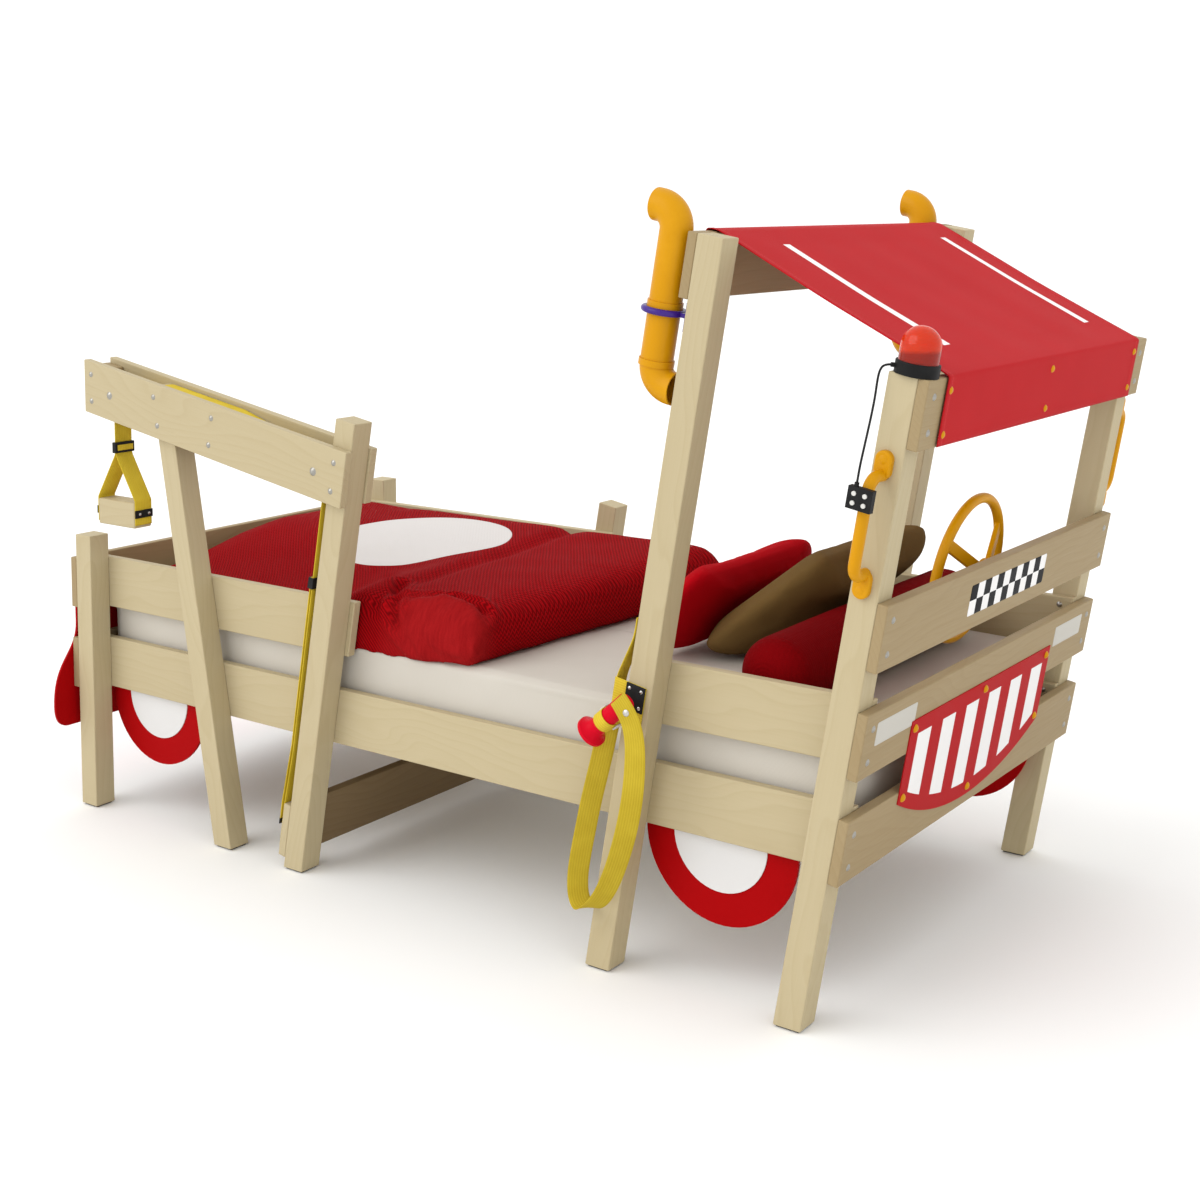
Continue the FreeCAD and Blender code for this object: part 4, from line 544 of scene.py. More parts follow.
cable_route = leaning(FRONT_X, [
    (-52.2, 0.6, 1192.0), (-61.0, -6.0, 1190.5), (-65.0, -10.5, 1180.0), (-64.5, -13.0, 1162.0),
    (-61.5, -17.0, 1136.0), (-58.0, -26.0, 1106.0), (-53.0, -40.0, 1076.0), (-47.5, -55.0, 1049.0),
    (-43.5, -66.0, 1025.0), (-42.0, -68.5, 1003.5)])
cable = spline_curve("beacon_lead", cable_route)
cable.data.bevel_depth = 0.002
cable.data.bevel_resolution = 4
cable.data.use_fill_caps = True
rubber = Finish("black_rubber", 0.55, 0.1)
rubber_grain = rubber.noise(800.0)
rubber_tone = rubber.mix(rubber_grain, (0.010, 0.010, 0.010), (0.024, 0.024, 0.025))
declared(cable, rubber.surface(rubber_tone, rubber_grain, 0.2, 0.0003), "bed", "cable", "beacon_cable")

# Hose webbing: a loose loop of 40 mm yellow webbing that stands for the pump's hose. One end is riveted
# beside the nozzle's end, the other is sewn under the holster's strip. The photograph shows nearly all of it.
HOSE_WIDTH, HOSE_TWIST, TWIST_RUN = 0.040, math.radians(36), 0.33


def rows_of(mesh, kind="co"):
    """A mesh's places, or its point normals, as rows of three."""
    values = np.empty(len(mesh.vertices) * 3)
    mesh.vertices.foreach_get(kind, values)
    return values.reshape(-1, 3)


hose_route = place([
    (1571.0, -66.5, 556.0), (1596.0, -67.0, 530.0), (1609.0, -66.0, 488.0), (1608.0, -64.0, 430.0),
    (1599.0, -61.0, 366.0), (1582.0, -57.0, 300.0), (1557.0, -52.0, 232.0), (1529.0, -45.0, 178.0),
    (1499.0, -37.0, 142.0), (1470.0, -29.0, 128.0), (1450.0, -22.0, 142.0), (1444.0, -17.0, 178.0),
    (1449.0, -13.0, 224.0), (1459.0, -10.0, 276.0), (1470.0, -8.0, 330.0), (1485.0, -6.0, 388.0),
    (1498.0, -5.0, 438.0), (1508.0, -4.0, 485.0)])
guide = spline_curve("hose_guide", hose_route)
guide_mesh = bpy.data.meshes.new_from_object(guide)
hose_path = rows_of(guide_mesh)
hose_path = hose_path[np.append(True, np.linalg.norm(np.diff(hose_path, axis=0), axis=1) > 1e-4)]
bpy.data.objects.remove(guide)
bpy.data.meshes.remove(guide_mesh)
hose_run = run_along(hose_path)
hose_turn = HOSE_TWIST * np.clip(hose_run / TWIST_RUN, 0, 1)
hose_across = np.stack([np.cos(hose_turn), np.sin(hose_turn), np.zeros(len(hose_run))], -1)
hose = carried("hose_loop", hose_path, hose_across, webbing_profile(HOSE_WIDTH, WEB_THICK / 1000))
hose.data.materials.append(webbing("hose_webbing_yellow", (0.56, 0.42, 0.033), (0.37, 0.26, 0.011)))
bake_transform(hose)
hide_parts("hose_webbing")


# Roof cloth: one sheet of red coated cloth, stretched from behind the rear beam over its top, down to the
# roof beam and over that beam's face. Hems are stitched, and two white tapes are sewn along the slope.
ROOF_NEAR, ROOF_FAR, ROOF_SAG, SLACK_DEEP = 66.0, 998.0, 4.0, 2.5
BEHIND_N, REAR_TOP, REAR_END = -76.5, 1407.6, 1345.0
FACE_N, FRONT_TOP, FRONT_END = 22.5, 1183.5, 1063.5
SLOPE_START, SLOPE_REST, HEM_WIDTH, HEM_RISE = 85.0, 122.0, 19.0, 0.8
TAPE_START, TAPE_END, TAPES = 0.140, 0.503, ((0.211, 0.236), (0.886, 0.911))
STITCH_LINE, STITCHES_PER_METRE, THREADS = (0.0148, 0.0162), 230.0, 5200.0
rear_fold, front_fold = in_side_view(REAR_X, -54.0, REAR_TOP), in_side_view(FRONT_X, FACE_N, FRONT_TOP)
roof_side = [in_side_view(REAR_X, BEHIND_N, REAR_END), in_side_view(REAR_X, BEHIND_N, REAR_TOP), rear_fold,
             ((rear_fold[0] + front_fold[0]) / 2, (rear_fold[1] + front_fold[1]) / 2 - ROOF_SAG), front_fold,
             in_side_view(FRONT_X, FACE_N, FRONT_END)]
roof_side = rounded_path(roof_side, (5.0, 40.0, 2600.0, 5.0), 6.0)
roof_run = run_along(roof_side)
roof_length = roof_run[-1]
run_grid, y_grid = np.meshgrid(roof_run, np.linspace(ROOF_NEAR, ROOF_FAR, 141), indexing="ij")
on_slope = np.minimum(run_grid - SLOPE_START, roof_length - SLOPE_REST - run_grid)
on_slope = np.clip(on_slope / 60.0, 0, 1)
share_across = (y_grid - ROOF_NEAR) / (ROOF_FAR - ROOF_NEAR)
pull = np.sin(5.3 * math.pi * share_across + 0.004 * run_grid)
pull = pull + 0.6 * np.sin(11 * math.pi * share_across - 0.011 * run_grid)
slack = on_slope * (0.6 * pull - SLACK_DEEP * np.sin(math.pi * share_across) ** 2)
edge_gap = np.minimum.reduce([y_grid - ROOF_NEAR, ROOF_FAR - y_grid, run_grid, roof_length - run_grid])
hem = HEM_RISE * np.clip((HEM_WIDTH - edge_gap) / 1.5, 0, 1)
side_ahead = np.gradient(roof_side, axis=0)
side_ahead /= np.linalg.norm(side_ahead, axis=1, keepdims=True)
side_out = np.stack([-side_ahead[:, 1], side_ahead[:, 0]], -1)
lifted = roof_side[:, None, :] + side_out[:, None, :] * (slack + hem)[..., None]
roof_points = place(np.stack([lifted[..., 0], y_grid, lifted[..., 1]], -1))
roof_uv = np.stack([run_grid, y_grid], -1) / 1000
roof = put_mesh("roof_sheet", roof_points, grid_faces(*run_grid.shape), roof_uv)
thickness = roof.modifiers.new("cloth_thickness", "SOLIDIFY")
thickness.thickness = 0.0014
thickness.offset = -1.0


def between(value, low, high):
    """One inside a span, zero outside it."""
    return (value > low) * (value < high)


cloth = Finish("red_coated_cloth", 0.6, 0.05)
down, over = cloth.axes(cloth.add("UVMap", uv_map="along"))[:2]
threads = reckoned("SINE", down * THREADS) + reckoned("SINE", over * THREADS)
red = cloth.mix(cloth.noise(9.0, 4.0), (0.42, 0.009, 0.012), (0.47, 0.013, 0.017))
tapes = (between(over, *TAPES[0]) + between(over, *TAPES[1])) * between(down, TAPE_START, TAPE_END)
red = cloth.mix(tapes, red, (0.86, 0.85, 0.84))
near_edge = reckoned("MINIMUM", over - ROOF_NEAR / 1000, ROOF_FAR / 1000 - over)
dashes = reckoned("FRACT", down * STITCHES_PER_METRE) > 0.35
stitches = between(near_edge, *STITCH_LINE) * dashes
red = cloth.mix(stitches, red, (0.70, 0.05, 0.06))
coated = cloth.surface(red, threads * 0.12 + (stitches + tapes), 0.3, 0.0006)
declared(roof, coated, "bed", "red_cloth", "roof_cloth")

# Yellow fittings: caps that hold the cloth and panels, the view tubes, grab handles and steering wheel, all
# moulded in warm yellow plastic with a soft gloss; the tubes are held by blue clips and have mirrors inside.
# The controls and their mounts are black and white.
GLOSSY = {"grain": 260.0, "depth": 0.06}
yellow_plastic = moulded("yellow_plastic", (0.57, 0.26, 0.002), (0.61, 0.29, 0.004), 0.34, **GLOSSY)
blue_plastic = moulded("blue_plastic", (0.040, 0.010, 0.20), (0.055, 0.016, 0.25), 0.3, spec=0.3, **GLOSSY)
clad(yellow_plastic, "yellow_caps", "near_periscope", "far_periscope", "grab_handles", "steering_wheel")
clad(blue_plastic, "periscope_brackets")
glass = Finish("mirror_glass", 0.04, 0.5, Metallic=1.0)
smear = glass.noise(60.0, 3.0)
silver = glass.mix(smear, (0.84, 0.86, 0.87), (0.74, 0.77, 0.78))
mirror = glass.surface(silver, rough=glass.ramp(smear, (0.4, 0.03), (0.7, 0.12)))
clad(mirror, "near_periscope_mirrors", "far_periscope_mirrors")
clad(black_plastic, "steering_bracket", "holster_plate", "control_box", "beacon_base")
white_plastic = moulded("white_plastic", (0.58, 0.57, 0.54), (0.64, 0.63, 0.60), 0.45, grain=500.0, depth=0.1)
clad(white_plastic, "control_button_1", "control_button_2", "control_button_3", "control_button_4")

# Beacon and nozzle: a ribbed red dome over a frosted lamp, and a nozzle in glossy red. The dome is tinted
# clear plastic, so the lamp shows faintly, and painted shade darkens it round its foot, where the black base
# sits inside.
dome = Finish("red_dome", 0.10, 0.15, **{"Transmission Weight": 0.55, "IOR": 1.45})
dome_low, dome_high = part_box("beacon_dome")
dome_up = (dome.axes(dome.coords)[2] - dome_low[2]) / (dome_high[2] - dome_low[2])
dome_red = dome.mix(dome.noise(40.0), (0.86, 0.040, 0.004), (0.90, 0.070, 0.008))
# Painted shade: the dome's lower part is painted dark red for the black base seen through it.
dome_red = dome.mix(dome.ramp(dome_up, (0.30, 1.0), (0.40, 0.0)), dome_red, (0.46, 0.020, 0.004))
dome_ribs = dome.add("TexWave", 1, Vector=dome.coords, Scale=70.0, bands_direction="Z")
clad(dome.surface(dome_red, dome_ribs, 0.12, 0.001), "beacon_dome")
clad(moulded("frosted_lamp", (0.80, 0.74, 0.60), (0.88, 0.84, 0.74), 0.6, grain=900.0), "beacon_lamp")
red_gloss = moulded("red_gloss", (0.56, 0.0012, 0.014), (0.60, 0.003, 0.018), 0.3, spec=0.06, **GLOSSY)
clad(red_gloss, "nozzle")


# Wheel plates, hub discs and tail panel: boards painted satin red and white, screwed behind the rails and on
# the foot boards. A little roller texture is left in the paint.
def painted(name, colour, light, rough=0.42, printed=None, ink=None):
    """Rolled satin paint: a soft orange-peel height, and a slow drift of tone. A print in ink lies on it
    where the wave that its function gives is one."""
    finish = Finish(name, rough, 0.025)
    drift = finish.noise(6.0, 3.0)
    tone = finish.mix(drift, colour, light)
    if printed:
        tone = finish.mix(printed(finish), tone, ink)
    gloss = finish.ramp(drift, (0.3, rough - 0.05), (0.7, rough + 0.07))
    return finish.surface(tone, finish.noise(330.0), 0.12, 0.0005, gloss)


clad(painted("red_paint", (0.32, 0.0012, 0.0022), (0.37, 0.0022, 0.0035)), "wheel_plates", "tail_panel")
clad(painted("white_paint", (0.62, 0.61, 0.60), (0.68, 0.67, 0.66)), "hub_discs")

# Grille panel: a sheet printed red with six white bars that follow its rounded lower edge, held by yellow
# caps across the two lower front boards.
GRILLE_MID, GRILLE_HALF, GRILLE_TOP, GRILLE_LOW, GRILLE_BELLY = 0.514, 0.3245, 0.544, 0.385, 0.076
BARS, BAR_PITCH, BAR_WIDTH, BAR_START, BAR_MARGIN = 6, 0.1055, 0.056, 0.034, 0.031


def front_axes(finish, start_y):
    """(y, u) in metres on the front boards: across the bed from a start, and up the leaning boards."""
    spot = finish.add("Mapping", Vector=finish.coords, Location=tuple(-place((FRONT_X, start_y, 0))))
    return finish.axes(finish.add("Mapping", Vector=spot, Rotation=(0, -LEAN, 0)))[1:]


def grille_bars(finish):
    """One on the upright bars, which end below the panel's straight top and above its lower edge's arc."""
    y, u = front_axes(finish, 0.0)
    arc_r = (GRILLE_HALF ** 2 + GRILLE_BELLY ** 2) / (2 * GRILLE_BELLY)
    from_mid = y - GRILLE_MID
    arc_rise = reckoned("SQRT", arc_r ** 2 - from_mid * from_mid)
    low_line = (GRILLE_LOW - GRILLE_BELLY + arc_r + BAR_MARGIN) - arc_rise
    way = y - (GRILLE_MID - GRILLE_HALF + BAR_START)
    phase = reckoned("FRACT", way / BAR_PITCH) * BAR_PITCH
    bars = (phase < BAR_WIDTH) * between(way, 0.0, BARS * BAR_PITCH - 0.02)
    return bars * (u < GRILLE_TOP - BAR_MARGIN) * (u > low_line)


grille_red, grille_light, grille_white = (0.38, 0.006, 0.009), (0.42, 0.009, 0.012), (0.80, 0.79, 0.78)
grille = painted("grille_print", grille_red, grille_light, printed=grille_bars, ink=grille_white)
clad(grille, "grille_panel")


# Front markings: two pale grey lamp patches on the middle board, and a strip of chequered tape on the upper
# one, all thin printed film with rounded corners, stuck to the boards.
BOARD_FACE, FILM_LIFT, FILM_CORNER, FILM_POINTS = 20.0, 0.5, 4.0, 64
LAMP_U, TAPE_Y, TAPE_U, CHEQUER = (536.0, 579.0), (352.0, 712.0), (706.0, 766.0), 0.030


def film(name, y_span, u_span, material):
    """A rounded rectangle of film on the front boards: a round-cornered outline, drawn as rings from its
    middle to its edge, with the rim turned down to the board."""
    angle = np.linspace(0, 2 * math.pi, FILM_POINTS, endpoint=False)
    half = np.array([(y_span[1] - y_span[0]) / 2, (u_span[1] - u_span[0]) / 2])
    mid = np.array([sum(y_span) / 2, sum(u_span) / 2])
    quadrant = np.sign(np.stack([np.cos(angle + 1e-6), np.sin(angle + 1e-6)], -1))
    edge = mid + quadrant * (half - FILM_CORNER) + FILM_CORNER * np.stack([np.cos(angle), np.sin(angle)], -1)
    rings = [mid + (edge - mid) * share for share in (0.35, 0.7, 0.99, 1.0, 1.0)]
    height = [FILM_LIFT, FILM_LIFT, FILM_LIFT, FILM_LIFT * 0.7, 0.02]
    places = [np.column_stack([np.full(FILM_POINTS, BOARD_FACE + h), ring]) for ring, h in zip(rings, height)]
    points = leaning(FRONT_X, np.stack(places))
    faces = grid_faces(len(rings), FILM_POINTS, close_columns=True)[:, ::-1]
    declared(put_mesh(name, points, faces, caps=(np.arange(FILM_POINTS),)), material, "bed", "white_panel")


def chequers(finish):
    """One on every other square of two rows."""
    y, u = front_axes(finish, TAPE_Y[0])
    upper_row = u > sum(TAPE_U) / 2000
    return reckoned("MODULO", reckoned("FLOOR", y / CHEQUER) + upper_row, 2.0)


lamp_film = painted("lamp_film", (0.50, 0.48, 0.43), (0.55, 0.53, 0.48), 0.35)
film("lamp_patch_near", (45.0, 200.0), LAMP_U, lamp_film)
film("lamp_patch_far", (855.0, 1005.0), LAMP_U, lamp_film)
tape_white, tape_light, tape_black = (0.80, 0.79, 0.78), (0.86, 0.85, 0.84), (0.012, 0.012, 0.014)
chequer_print = painted("chequer_print", tape_white, tape_light, 0.38, chequers, tape_black)
film("chequer_tape", TAPE_Y, TAPE_U, chequer_print)

# Holster: a loop of narrow webbing round the nozzle, sewn to a wider strip on the rear post under a black
# screwed plate; a hanger of webbing runs up the post's foot side, and white tabs stiffen the loop's legs.
NOZZLE_RISE, LOOP_R = math.radians(41.5), 0.0184
nozzle_way = np.array([math.cos(NOZZLE_RISE), 0.0, math.sin(NOZZLE_RISE)])
nozzle_side = np.array([nozzle_way[2], 0.0, -nozzle_way[0]])
nozzle_tip = leaning(REAR_X, (-88.0, -48.0, 467.0))
loop_mid = nozzle_tip + nozzle_way * 0.045
loop_turn = np.linspace(0, math.pi, 24)
loop_flat = np.stack([np.cos(loop_turn), -np.sin(loop_turn)], -1) * LOOP_R
legs = np.linspace(0.0465, 0.002, 8)
near_leg, far_leg = np.stack([np.full(8, LOOP_R), legs], -1), np.stack([np.full(8, -LOOP_R), legs[::-1]], -1)
loop_flat = np.concatenate([near_leg, loop_flat, far_leg])
loop_path = loop_mid + loop_flat[:, :1] * nozzle_side + loop_flat[:, 1:] * np.array([0, 1, 0])
strap("holster_loop", loop_path, nozzle_way, 24.0, "bed", "nozzle_holster")
strip_n = np.linspace(-82.0, -12.0, 15)
strip_path = leaning(REAR_X, np.stack([strip_n, np.full(15, -1.0), np.full(15, 524.0)], -1))
strap("holster_strip", strip_path, (math.sin(LEAN), 0, math.cos(LEAN)), 88.0, "bed")
hanger = rounded_path([(-55.3, 691.0), (-55.3, 655.0), (-80.0, 568.0), (-80.0, 520.0)], (120, 120), 6.0)
hanger = leaning(REAR_X, np.stack([hanger[:, 0], np.full(len(hanger), 16.0), hanger[:, 1]], -1))
strap("holster_hanger", hanger, (0, 1, 0), 36.0, "bed")
plate_corners = ((-46.0, 559.0), (-20.0, 559.0), (-20.0, 527.0), (-46.0, 527.0))
plate_spots = leaning(REAR_X, [(n, -5.0, u) for n, u in plate_corners])
plate_screws = domes("holster_screws", plate_spots, (0, -1, 0), 0.0034, 0.0016)
declared(plate_screws, zinc_bright, "bed", "steel")
rivet_at = int(np.searchsorted(hose_run, 0.030))
rivet_ahead = hose_path[rivet_at + 1] - hose_path[rivet_at - 1]
rivet_out = np.cross(rivet_ahead, hose_across[rivet_at])
rivet_out = rivet_out / np.linalg.norm(rivet_out) * (-1 if rivet_out[1] > 0 else 1)
rivet = domes("hose_rivet", [hose_path[rivet_at] + 0.001 * rivet_out], rivet_out, 0.0065, 0.0028)
declared(rivet, zinc_bright, "pull_nozzle", "steel")
TAB_ALONG, TAB_DEEP, TAB_HALF = 0.0075, 0.0085, 0.0016
tab_turn = np.linspace(0, 2 * math.pi, 28, endpoint=False)
tab_turn, tab_rise = np.meshgrid(tab_turn, np.linspace(-1.45, 1.45, 13))


def rounded_power(wave):
    """A wave drawn towards a square: its sign times the cube root of its size."""
    return np.sign(wave) * np.abs(wave) ** 0.33


for side, word in ((1, "low"), (-1, "high")):
    tab_middle = loop_mid + side * 0.0212 * nozzle_side + np.array([0, 0.013, 0]) + 0.004 * nozzle_way
    girth = rounded_power(np.cos(tab_rise))
    tab_points = tab_middle + TAB_ALONG * (girth * rounded_power(np.cos(tab_turn)))[..., None] * nozzle_way
    tab_points[..., 1] += TAB_DEEP * girth * rounded_power(np.sin(tab_turn))
    tab_points += side * TAB_HALF * rounded_power(np.sin(tab_rise))[..., None] * nozzle_side
    tab = tube("holster_tab_" + word, tab_points, side)
    declared(tab, white_plastic, "bed", "white_button")


# Mattress: a 90 by 200 cm foam mattress in an off-white jersey cover, laid on the slats between the rails.
# The cover is a little loose, so its top is not quite level and its border has shallow dents.
mattress_low, mattress_high = np.array(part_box("mattress"))
MATTRESS_CORNER, MATTRESS_EDGE = 0.045, 0.022


def uneven(x, y, size):
    """A slow unevenness between minus one and one: three sine waves that cross at different slants."""
    first = np.sin(x / size + 1.7 * np.sin(y / size / 1.6))
    second = np.sin(1.3 * y / size - 0.6 * x / size + 2.0)
    return (first + second + np.sin(0.7 * (x + y) / size + 4.0)) / 3


def closed_outline(low, high, corner, step):
    """A rectangle in plan with quarter-round corners, as even places once round it."""
    (x0, y0), (x1, y1) = low, high
    around = [((x0 + x1) / 2, y0), (x1, y0), (x1, y1), (x0, y1), (x0, y0), ((x0 + x1) / 2, y0)]
    return rounded_path(around, (corner,) * 4, step)[:-1]


edge_turn = np.linspace(0, math.pi / 2, 7)
edge_inset, edge_lift = MATTRESS_EDGE * (1 - np.sin(edge_turn)), MATTRESS_EDGE * (1 - np.cos(edge_turn))
top_inset = np.linspace(0.05, 0.43, 14)
mattress_side = np.linspace(mattress_low[2] + 0.03, mattress_high[2] - 0.03, 7)
ring_inset = np.concatenate([[0.43, 0.2], edge_inset, np.zeros(7), edge_inset[::-1], top_inset])
ring_z = np.concatenate([[mattress_low[2]] * 2, mattress_low[2] + edge_lift, mattress_side,
                         mattress_high[2] - edge_lift[::-1], np.full(14, mattress_high[2])])
outline = closed_outline(mattress_low[:2], mattress_high[:2], MATTRESS_CORNER, 0.02)
plan_mid, plan_half = (mattress_low[:2] + mattress_high[:2]) / 2, (mattress_high[:2] - mattress_low[:2]) / 2
shrink = 1 - ring_inset[:, None, None] / plan_half
rings = plan_mid + (outline - plan_mid) * shrink
ring_z = np.broadcast_to(ring_z[:, None], rings.shape[:2])
plan_x, plan_y = rings[..., 0], rings[..., 1]
dent = 0.0016 * (1 + uneven(plan_x, plan_y, 0.06)) + 0.0018 * (1 + uneven(plan_x, plan_y, 0.21))
on_top = ring_z > mattress_high[2] - 0.01
border = (ring_inset == 0)[:, None] & ~on_top
side_dent = 0.0012 * (1 + uneven(plan_x + plan_y, 1.8 * ring_z, 0.05))
dented = plan_mid + (rings - plan_mid) * (1 - side_dent[..., None] / plan_half)
rings = np.where(border[..., None], dented, rings)
mattress = tube("mattress_cover", np.dstack([rings, ring_z - np.where(on_top, dent, 0.0)]))


def knitted(name, colour, light, stitch, depth, rows=None):
    """Fine knitted or woven cloth: rows of stitches one way crossed by wales the other, a soft fuzz over
    them, and a slow drift of tone. The rows follow a function of the axes, or y plus z without one."""
    finish = Finish(name, 0.88, 0.03)
    x, y, z = finish.axes(finish.coords)
    row = ripple(rows(x, y, z) if rows else y + z, stitch)
    wale = ripple(x, 1.3 * stitch)
    height = (row + wale * 0.5) * 0.3 + finish.noise(600.0, 3.0) * 0.7
    return finish.surface(finish.mix(finish.noise(7.0, 4.0), colour, light), height, 0.4, depth)


jersey = knitted("mattress_jersey", (0.52, 0.485, 0.425), (0.57, 0.535, 0.475), 0.0022, 0.0006)
declared(mattress, jersey, "bed", "mattress_cover", "mattress")

# Duvet: a down cover in red seersucker cotton with a bare white disc sewn on its top, laid a little askew
# over the foot half. A cross fold lies behind its head end, and its near edge hangs over the mattress,
# crumpled at the corner.
DUVET_FOOT, DUVET_HEAD, DUVET_SKEW, DUVET_LENGTH = -22.0, 1160.0, 0.085, 1180.0
DUVET_NEAR, DUVET_HANG, DUVET_FAR = 92.0, 66.0, 940.0
BED_MIDDLE, BED_TOP, DUVET_TOP, WAIST_RISE = 532.0, 506.9, 614.0, 40.0
BED_FLAT, BED_SIDE, BED_CLEAR, BED_ROUND = 104.0, 84.0, 80.5, 22.0
GROOVE_X, GROOVE_SLANT, GROOVE_DEEP, GROOVE_WIDE = 845.0, 0.095, 17.0, 26.0
HANG_DEEP, HANG_LESS, NEAR_SAG, FAR_RISE = 40.0, 38.0, 72.0, 6.0


def eased(value):
    """Nought to one with level ends: three squares less two cubes."""
    value = np.clip(value, 0, 1)
    return value * value * (3 - 2 * value)


along, across = np.meshgrid(np.linspace(0, 1, 150), np.linspace(0, 1, 110), indexing="ij")
near_line = DUVET_NEAR + (DUVET_HANG - DUVET_NEAR) * eased((along * DUVET_LENGTH - 500.0) / 120.0)
duvet_y = near_line + (DUVET_FAR - near_line) * across
head_line = DUVET_HEAD + DUVET_SKEW * (duvet_y - BED_MIDDLE)
duvet_x = DUVET_FOOT + (head_line - DUVET_FOOT) * along
from_foot, from_head = duvet_x - DUVET_FOOT, head_line - duvet_x
from_side = np.minimum(duvet_y - near_line, DUVET_FAR - duvet_y)


def rounding(distance, radius):
    """Full rise from a border: nought at the border, one at the radius and beyond, along a rounded square."""
    return (1 - (1 - np.clip(distance / radius, 0, 1)) ** 2.4) ** (1 / 2.4)


fullness = rounding(np.minimum(from_foot, from_head), 58.0) * rounding(from_side, 46.0)
hang = eased((BED_FLAT - duvet_y) / 40.0) * eased((duvet_x - 520.0) / 120.0)
hang = hang * (HANG_DEEP - HANG_LESS * eased((duvet_x - 760.0) / 400.0))
waist = BED_TOP + WAIST_RISE - 0.9 * hang
groove_x = GROOVE_X - GROOVE_SLANT * duvet_y
groove = GROOVE_DEEP * np.exp(-((duvet_x - groove_x) / GROOVE_WIDE) ** 2)
puff = DUVET_TOP + 4.0 * uneven(duvet_x, duvet_y, 120.0) - groove
puff = puff + FAR_RISE * eased((duvet_y - 600.0) / 300.0)
puff = puff - NEAR_SAG * eased((600.0 - duvet_y) / 450.0) * eased((800.0 - duvet_x) / 200.0)
duvet_top = waist + (puff - waist) * fullness
duvet_low = waist + (BED_TOP - hang - waist) * np.minimum(1, 1.6 * fullness)
upper, lower = np.dstack([duvet_x, duvet_y, duvet_top]), np.dstack([duvet_x, duvet_y, duvet_low])
cells = grid_faces(*duvet_x.shape)
duvet_faces = np.concatenate([cells[:, ::-1], cells + duvet_x.size])
duvet = put_mesh("duvet_cover", place(np.stack([upper, lower])), duvet_faces)


def baked(piece):
    """Makes a piece's modifiers part of its mesh, and gives the mesh's places."""
    mesh = bpy.data.meshes.new_from_object(piece.evaluated_get(bpy.context.evaluated_depsgraph_get()))
    piece.modifiers.clear()
    piece.data = mesh
    return rows_of(mesh)


def blown(piece, voxel, reach, pressure=4.0):
    """Fills a closed cover: it is remeshed into even cells, twenty steps of cloth under pressure round
    it out, and each point goes at most the reach along its way."""
    remesh = piece.modifiers.new("even_cells", "REMESH")
    remesh.mode = "VOXEL"
    remesh.voxel_size = voxel
    remesh.use_smooth_shade = True
    start = baked(piece)
    cover = piece.modifiers.new("cover", "CLOTH")
    cover.settings.use_pressure = True
    cover.settings.uniform_pressure_force = pressure
    cover.settings.effector_weights.gravity = 0
    for step in range(1, 21):
        bpy.context.scene.frame_set(step)
    swollen = rows_of(piece.evaluated_get(bpy.context.evaluated_depsgraph_get()).data)
    piece.modifiers.clear()
    bpy.context.scene.frame_set(1)
    way = swollen - start
    far = np.linalg.norm(way, axis=1, keepdims=True)
    return start + way * np.minimum(1, reach / np.maximum(far, 1e-9))


def settled(piece, places):
    """Puts the final places into a padded piece and smooths it by one subdivision."""
    piece.data.vertices.foreach_set("co", places.astype(np.float32).ravel())
    piece.data.update()
    smooth = piece.modifiers.new("smooth_cover", "SUBSURF")
    smooth.levels = smooth.render_levels = 1


def refined(piece, places):
    """Settles a padded piece and makes its subdivision part of the mesh, for folds finer than its cells."""
    settled(piece, places)
    return baked(piece)


def to_line(points, start, end):
    """Distance of points from a straight line between two places."""
    start, end = np.asarray(start, float), np.asarray(end, float)
    share = np.clip((points - start) @ (end - start) / np.sum((end - start) ** 2), 0, 1)
    return np.linalg.norm(points - start - share[:, None] * (end - start), axis=1)


CREASES = (((800, 200, 606), (880, 110, 604), 16, 12), ((880, 110, 604), (905, 64, 560), 22, 12),
           ((905, 64, 560), (960, 62, 520), 20, 11), ((880, 110, 604), (1000, 150, 612), 14, 12),
           ((1000, 150, 612), (1090, 140, 612), 16, 12), ((1090, 140, 612), (1140, 96, 596), 18, 11),
           ((1140, 96, 596), (1150, 84, 540), 16, 10), ((640, 330, 600), (800, 200, 606), 5, 16),
           ((985, 62, 560), (1070, 68, 545), 8, 8))
EAR_MID, EAR_RISE, EAR_SPREAD = (1030, 78, 585), 13.0, 75.0
duvet_places = refined(duvet, blown(duvet, 0.011, 0.010))
flat = (duvet_places - HOME) * 1000
normals = rows_of(duvet.data, "normal")
valley, ridge = np.zeros(len(flat)), np.zeros(len(flat))
for start, end, depth, width in CREASES:
    gap = to_line(flat, start, end)
    valley = np.maximum(valley, depth * np.exp(-(gap / width) ** 2))
    ridge = np.maximum(ridge, 0.45 * depth * np.exp(-((gap - 2.2 * width) / (1.2 * width)) ** 2))
ear = EAR_RISE * np.exp(-np.sum((flat - EAR_MID) ** 2, axis=1) / EAR_SPREAD ** 2)
lift = ridge - valley + ear
near_corner = np.exp(-((flat[:, 0] - 960) / 190) ** 2) * eased((230 - flat[:, 1]) / 150)
streaks = np.sin(flat[:, 0] / 9 + 2.2 * np.sin(flat[:, 2] / 21)) + np.sin(flat[:, 2] / 8 + flat[:, 0] / 26)
lift += near_corner * 1.6 * streaks + 1.2 * uneven(flat[:, 0], flat[:, 1] + flat[:, 2], 31.0)
above = eased((flat[:, 2] - BED_TOP - 4.0) / 24.0)
lift *= np.where(flat[:, 1] > BED_SIDE, above, 1.0)
flat = flat + normals * lift[:, None]
on_bed = (flat[:, 1] > BED_SIDE) & (flat[:, 2] < BED_TOP)
past_flat = np.clip(BED_FLAT - flat[:, 1], 0, BED_ROUND - 0.1)
